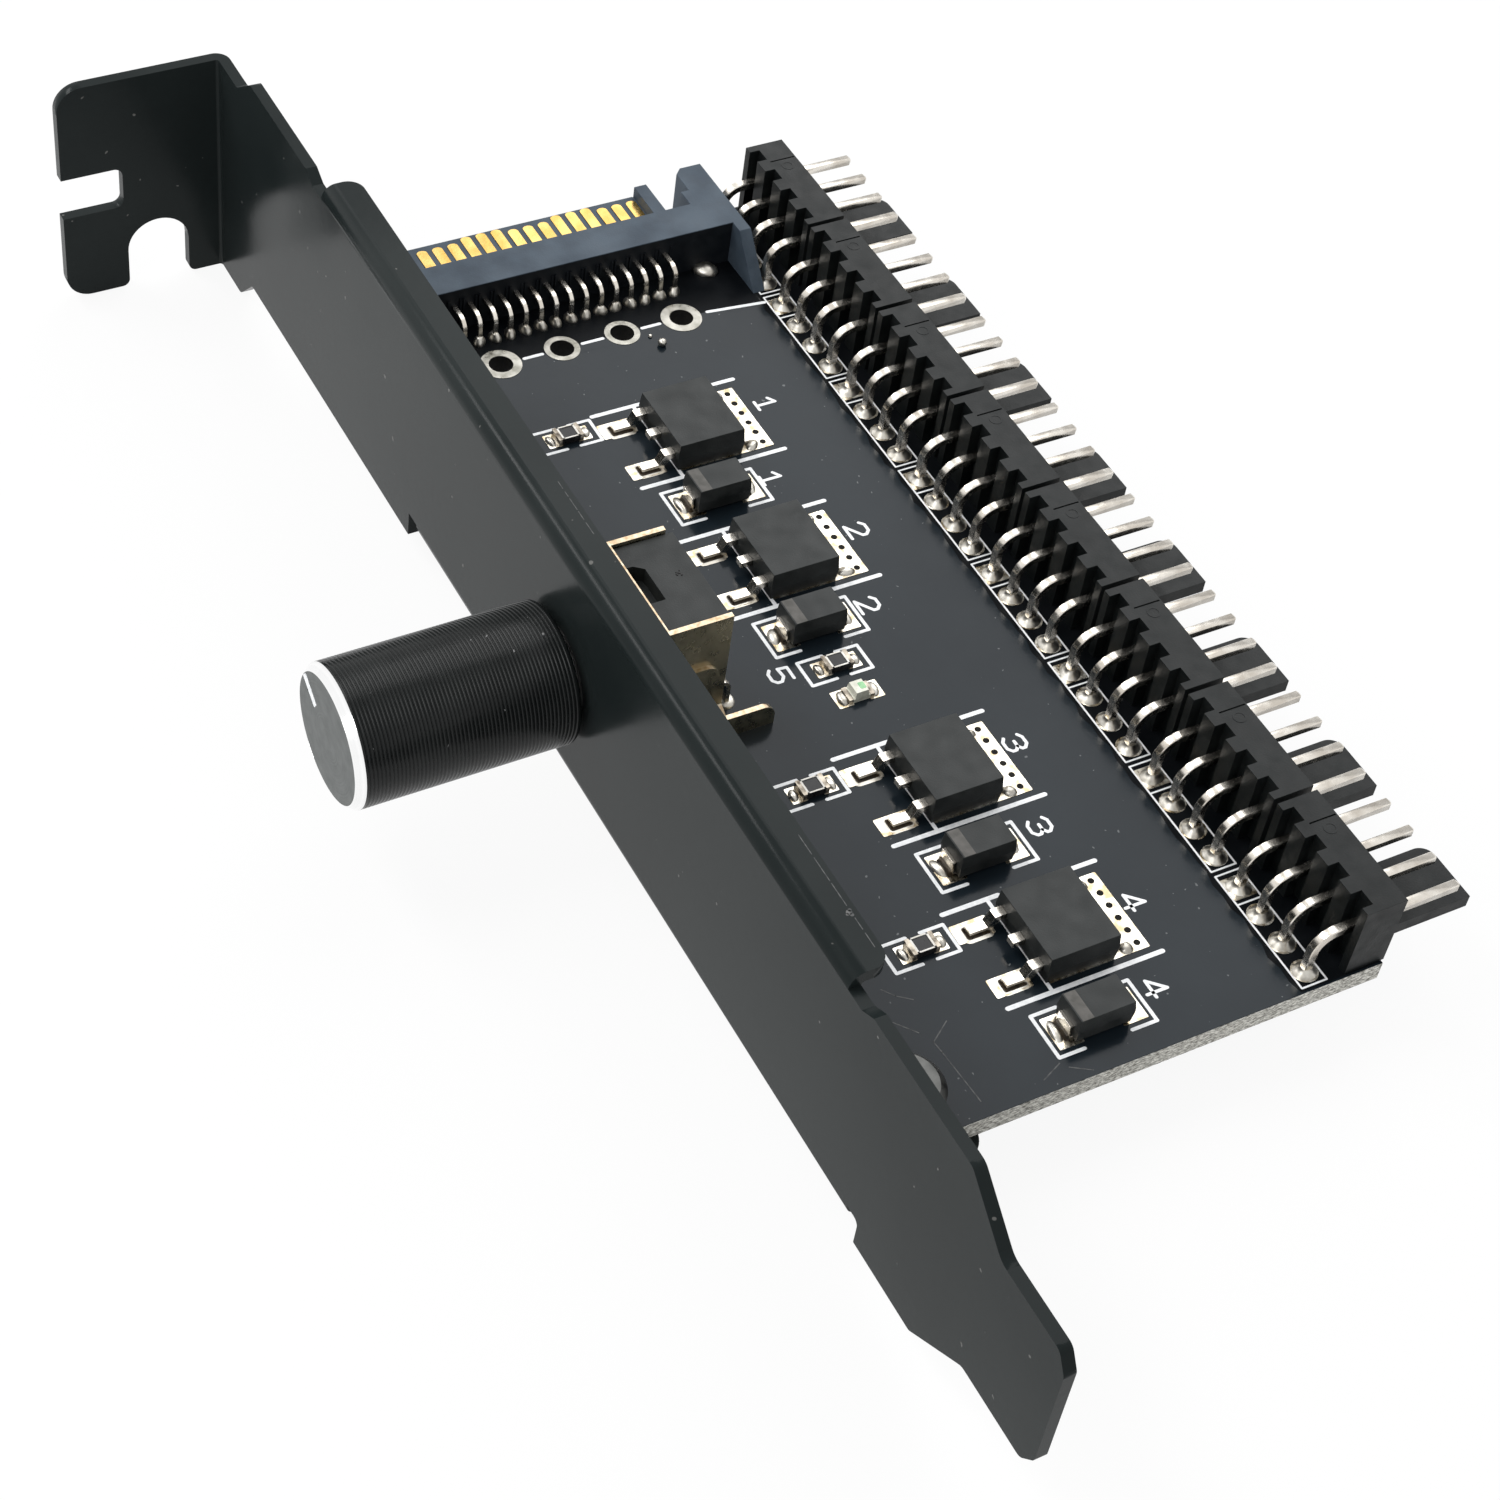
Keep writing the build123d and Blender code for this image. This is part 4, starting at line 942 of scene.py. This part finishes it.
# Pale ceramic edges round the resistors' glaze
edge_inset, edge_width = 0.02, 0.13
end_inner, side_reach, end_outer = 0.56, 0.7, 0.71
edges = bmesh.new()
for index, centre in enumerate(resistor_middles, 1):
    low, high = (local(corner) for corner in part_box(f"resistor_{index}"))
    for x0, x1, y0, y1 in (
        (low.x + edge_inset, low.x + edge_width, centre.y - side_reach, centre.y + side_reach),
        (high.x - edge_width, high.x - edge_inset, centre.y - side_reach, centre.y + side_reach),
        (low.x + edge_inset, high.x - edge_inset, centre.y - end_outer, centre.y - end_inner),
        (low.x + edge_inset, high.x - edge_inset, centre.y + end_inner, centre.y + end_outer),
    ):
        slab(edges, x0, x1, y0, y1, high.z - 0.02, high.z + 0.012)
piece("resistor_edges", edges, alumina, smooth=0)

# Small moulded mark on the potentiometer's body: (along, depth, radius) round its middle
pip_middle = (42.86, -26.88)
pips = bmesh.new()
for shift_along, shift_depth, radius in (
    (0, 0, 0.12), (0.22, 0.1, 0.08), (0.1, -0.2, 0.09), (-0.2, 0.12, 0.07), (-0.12, -0.16, 0.06),
):
    profile = [(radius, 10.49), (radius * 0.8, 10.53), (radius * 0.3, 10.545)]
    mound(pips, pip_middle[0] + shift_along, pip_middle[1] + shift_depth, profile, 10, 0.2)
piece("moulded_pips", pips, bushing_finish, smooth=40)

# Painted shade on the rear face of the power plug: a dark sheet over it, with upright ribs beside each tail
# in the same dark colour
rear_low, rear_high = 4.15, 4.2
plug_low, plug_high = -29.1, -1.5
rear = bmesh.new()
slab(rear, rear_low, rear_high + 0.01, plug_low, plug_high, off_board, 3.74)
for depth in contact_depths:
    for side in both_sides:
        first, last = sorted((depth + side * 0.42, depth + side * 0.56))
        slab(rear, rear_low, rear_high + 0.14, first, last, 0.6, 2.95)
piece("plug_rear_face", rear, plug_shadow, smooth=0)

# Worn places: a paint chip and a rubbed line along the flange's free edge, scratches on the solder mask
flange_top = 15.85
chip_middle = (75.9, -33.42)
rubbed_depth = -33.3
worn = bmesh.new()
for shift_along, shift_depth, radius in (
    (0, 0, 0.2), (0.22, 0.08, 0.13), (-0.14, 0.12, 0.12), (0.1, -0.16, 0.1),
):
    disc(worn, chip_middle[0] + shift_along, chip_middle[1] + shift_depth, radius,
         flange_top - overlap, flange_top + 0.008, 9)
for first, last in (
    (69.6, 71.2), (71.5, 73.4), (73.6, 75.4), (76.4, 77.3), (77.6, 78.7),
    (37.1, 37.8), (38.1, 38.6), (38.8, 39.9), (40.1, 40.9), (41.2, 42.3),
):
    line(worn, (first, rubbed_depth), (last, rubbed_depth), 0.05, flange_top - overlap, flange_top + 0.006)
for first, last in (
    ((71.8, -26.3), (72.6, -25.7)), ((72.6, -25.7), (73.3, -24.8)), ((75.6, -23.7), (76.7, -25.3)),
    ((76.7, -25.3), (77.6, -25.2)), ((77.6, -25.2), (81.8, -24.9)), ((82.0, -20.4), (81.3, -18.8)),
    ((81.8, -18.4), (82.6, -17.1)), ((74.0, -27.2), (75.7, -25.8)),
):
    line(worn, first, last, 0.08, 0, 0.006)
piece("worn_places", worn, scuff, smooth=0)

# Round moulding mark on the top of each header
marks = bmesh.new()
for start in header_starts:
    washer(marks, start + 1.85, 4.35, 0.36, 0.5, 6.04, 6.07, 24)
piece("header_marks", marks, moulded_black, smooth=30)


# Edges of the CAD parts
def soften(node, width, segments=2):
    """Rounds the sharp edges of a CAD node by modifiers, without touching its mesh."""
    weld = node.modifiers.new("weld", "WELD")
    weld.merge_threshold = 1e-6
    bevel = node.modifiers.new("edges", "BEVEL")
    bevel.width = width * mm
    bevel.segments = segments
    bevel.limit_method = "ANGLE"
    bevel.angle_limit = math.radians(40)
    bevel.harden_normals = True


moulded_families = ("transistor_", "diode_", "resistor_")
small_edged = ("plug_housing", "pot_body", "circuit_board", "pot_frame", "bracket_screws")
for name, node in nodes.items():
    if name == "bracket":
        soften(node, 0.12)
    elif name.startswith("header_") and not name.startswith("header_pins"):
        soften(node, 0.06)
    elif name in small_edged or name.startswith(moulded_families):
        soften(node, 0.05)

# Camera at the photograph's angle
photo_size = 1500
focal_pixels = 3063.045
sensor = 36
camera_place = Vector((180.533, -64.967, 147.616)) * mm
camera_aim = Vector((69.226, 13.317, 0)) * mm
camera_roll = 9.396
camera_data = bpy.data.cameras.new("camera")
camera_data.sensor_width = sensor
camera_data.lens = focal_pixels * sensor / photo_size
camera_data.clip_start = 0.01
camera_data.clip_end = 10
camera = bpy.data.objects.new("camera", camera_data)
bpy.context.scene.collection.objects.link(camera)
camera.location = camera_place
aim = (camera_aim - camera_place).to_track_quat("-Z", "Y")
camera.rotation_mode = "QUATERNION"
camera.rotation_quaternion = aim @ Quaternion((0, 0, 1), math.radians(camera_roll))
bpy.context.scene.camera = camera

# Floor, lamps and surroundings, in metres
scene_middle = (0.06, 0.03, 0)
floor_half = 1.5
floor_gap = 0.0002
floor_corners = [
    (-floor_half, -floor_half, 0), (floor_half, -floor_half, 0),
    (floor_half, floor_half, 0), (-floor_half, floor_half, 0),
]
floor_mesh = bpy.data.meshes.new("floor")
floor_mesh.from_pydata(floor_corners, [], [(0, 1, 2, 3)])
floor = bpy.data.objects.new("floor", floor_mesh)
bpy.context.scene.collection.objects.link(floor)
floor.location = (scene_middle[0], scene_middle[1], cad_low.z - floor_gap)


def seen_directly(tree):
    """1 for camera, glossy and transmission rays, 0 for the light that falls on things."""
    path = add_node(tree, "ShaderNodeLightPath")
    total = path.outputs["Is Camera Ray"]
    for name in ("Is Glossy Ray", "Is Transmission Ray"):
        total = calculate(tree, "MAXIMUM", total, path.outputs[name])
    return total


def pale_floor():
    """Matt floor that glows white where it is seen, with a faint shadow left on it."""
    material = bpy.data.materials.new("pale_floor")
    material.use_nodes = True
    tree = material.node_tree
    tree.nodes.remove(tree.nodes["Principled BSDF"])
    matt = add_node(tree, "ShaderNodeBsdfDiffuse")
    matt.inputs["Color"].default_value = (0.82, 0.82, 0.82, 1)
    glow = add_node(tree, "ShaderNodeEmission")
    glow.inputs["Color"].default_value = (1, 1, 1, 1)
    blend = add_node(tree, "ShaderNodeMixShader")
    tree.links.new(calculate(tree, "MULTIPLY", seen_directly(tree), 0.92), blend.inputs["Fac"])
    tree.links.new(matt.outputs["BSDF"], blend.inputs[1])
    tree.links.new(glow.outputs["Emission"], blend.inputs[2])
    tree.links.new(blend.outputs["Shader"], tree.nodes["Material Output"].inputs["Surface"])
    return material


def studio_world():
    """White surroundings that light things at half strength."""
    world = bpy.data.worlds.new("studio")
    world.use_nodes = True
    tree = world.node_tree
    background = tree.nodes["Background"]
    background.inputs["Color"].default_value = (1, 1, 1, 1)
    strength = add_node(tree, "ShaderNodeMapRange")
    strength.inputs["To Min"].default_value = 0.5
    strength.inputs["To Max"].default_value = 1.0
    tree.links.new(seen_directly(tree), strength.inputs["Value"])
    tree.links.new(strength.outputs["Result"], background.inputs["Strength"])
    return world


def lamp(name, place, width, depth, watts, target=scene_middle):
    """Soft rectangular lamp that faces the target, wide along the floor."""
    data = bpy.data.lights.new(name, "AREA")
    data.shape = "RECTANGLE"
    data.size = width
    data.size_y = depth
    data.energy = watts
    obj = bpy.data.objects.new(name, data)
    bpy.context.scene.collection.objects.link(obj)
    obj.location = place
    obj.rotation_mode = "QUATERNION"
    obj.rotation_quaternion = (Vector(target) - Vector(place)).to_track_quat("-Z", "Y")


floor_mesh.materials.append(pale_floor())
bpy.context.scene.world = studio_world()
lamp("softbox", (-0.3, 0.4, 0.5), 0.5, 0.8, 3.1)
lamp("key", (-0.3, -0.215, 0.42), 0.56, 0.13, 2.2, (-0.3, 0.03, 0))
lamp("fill", (0.26, -0.42, 0.38), 0.3, 0.3, 1.0)

bpy.context.scene.view_settings.view_transform = "Standard"
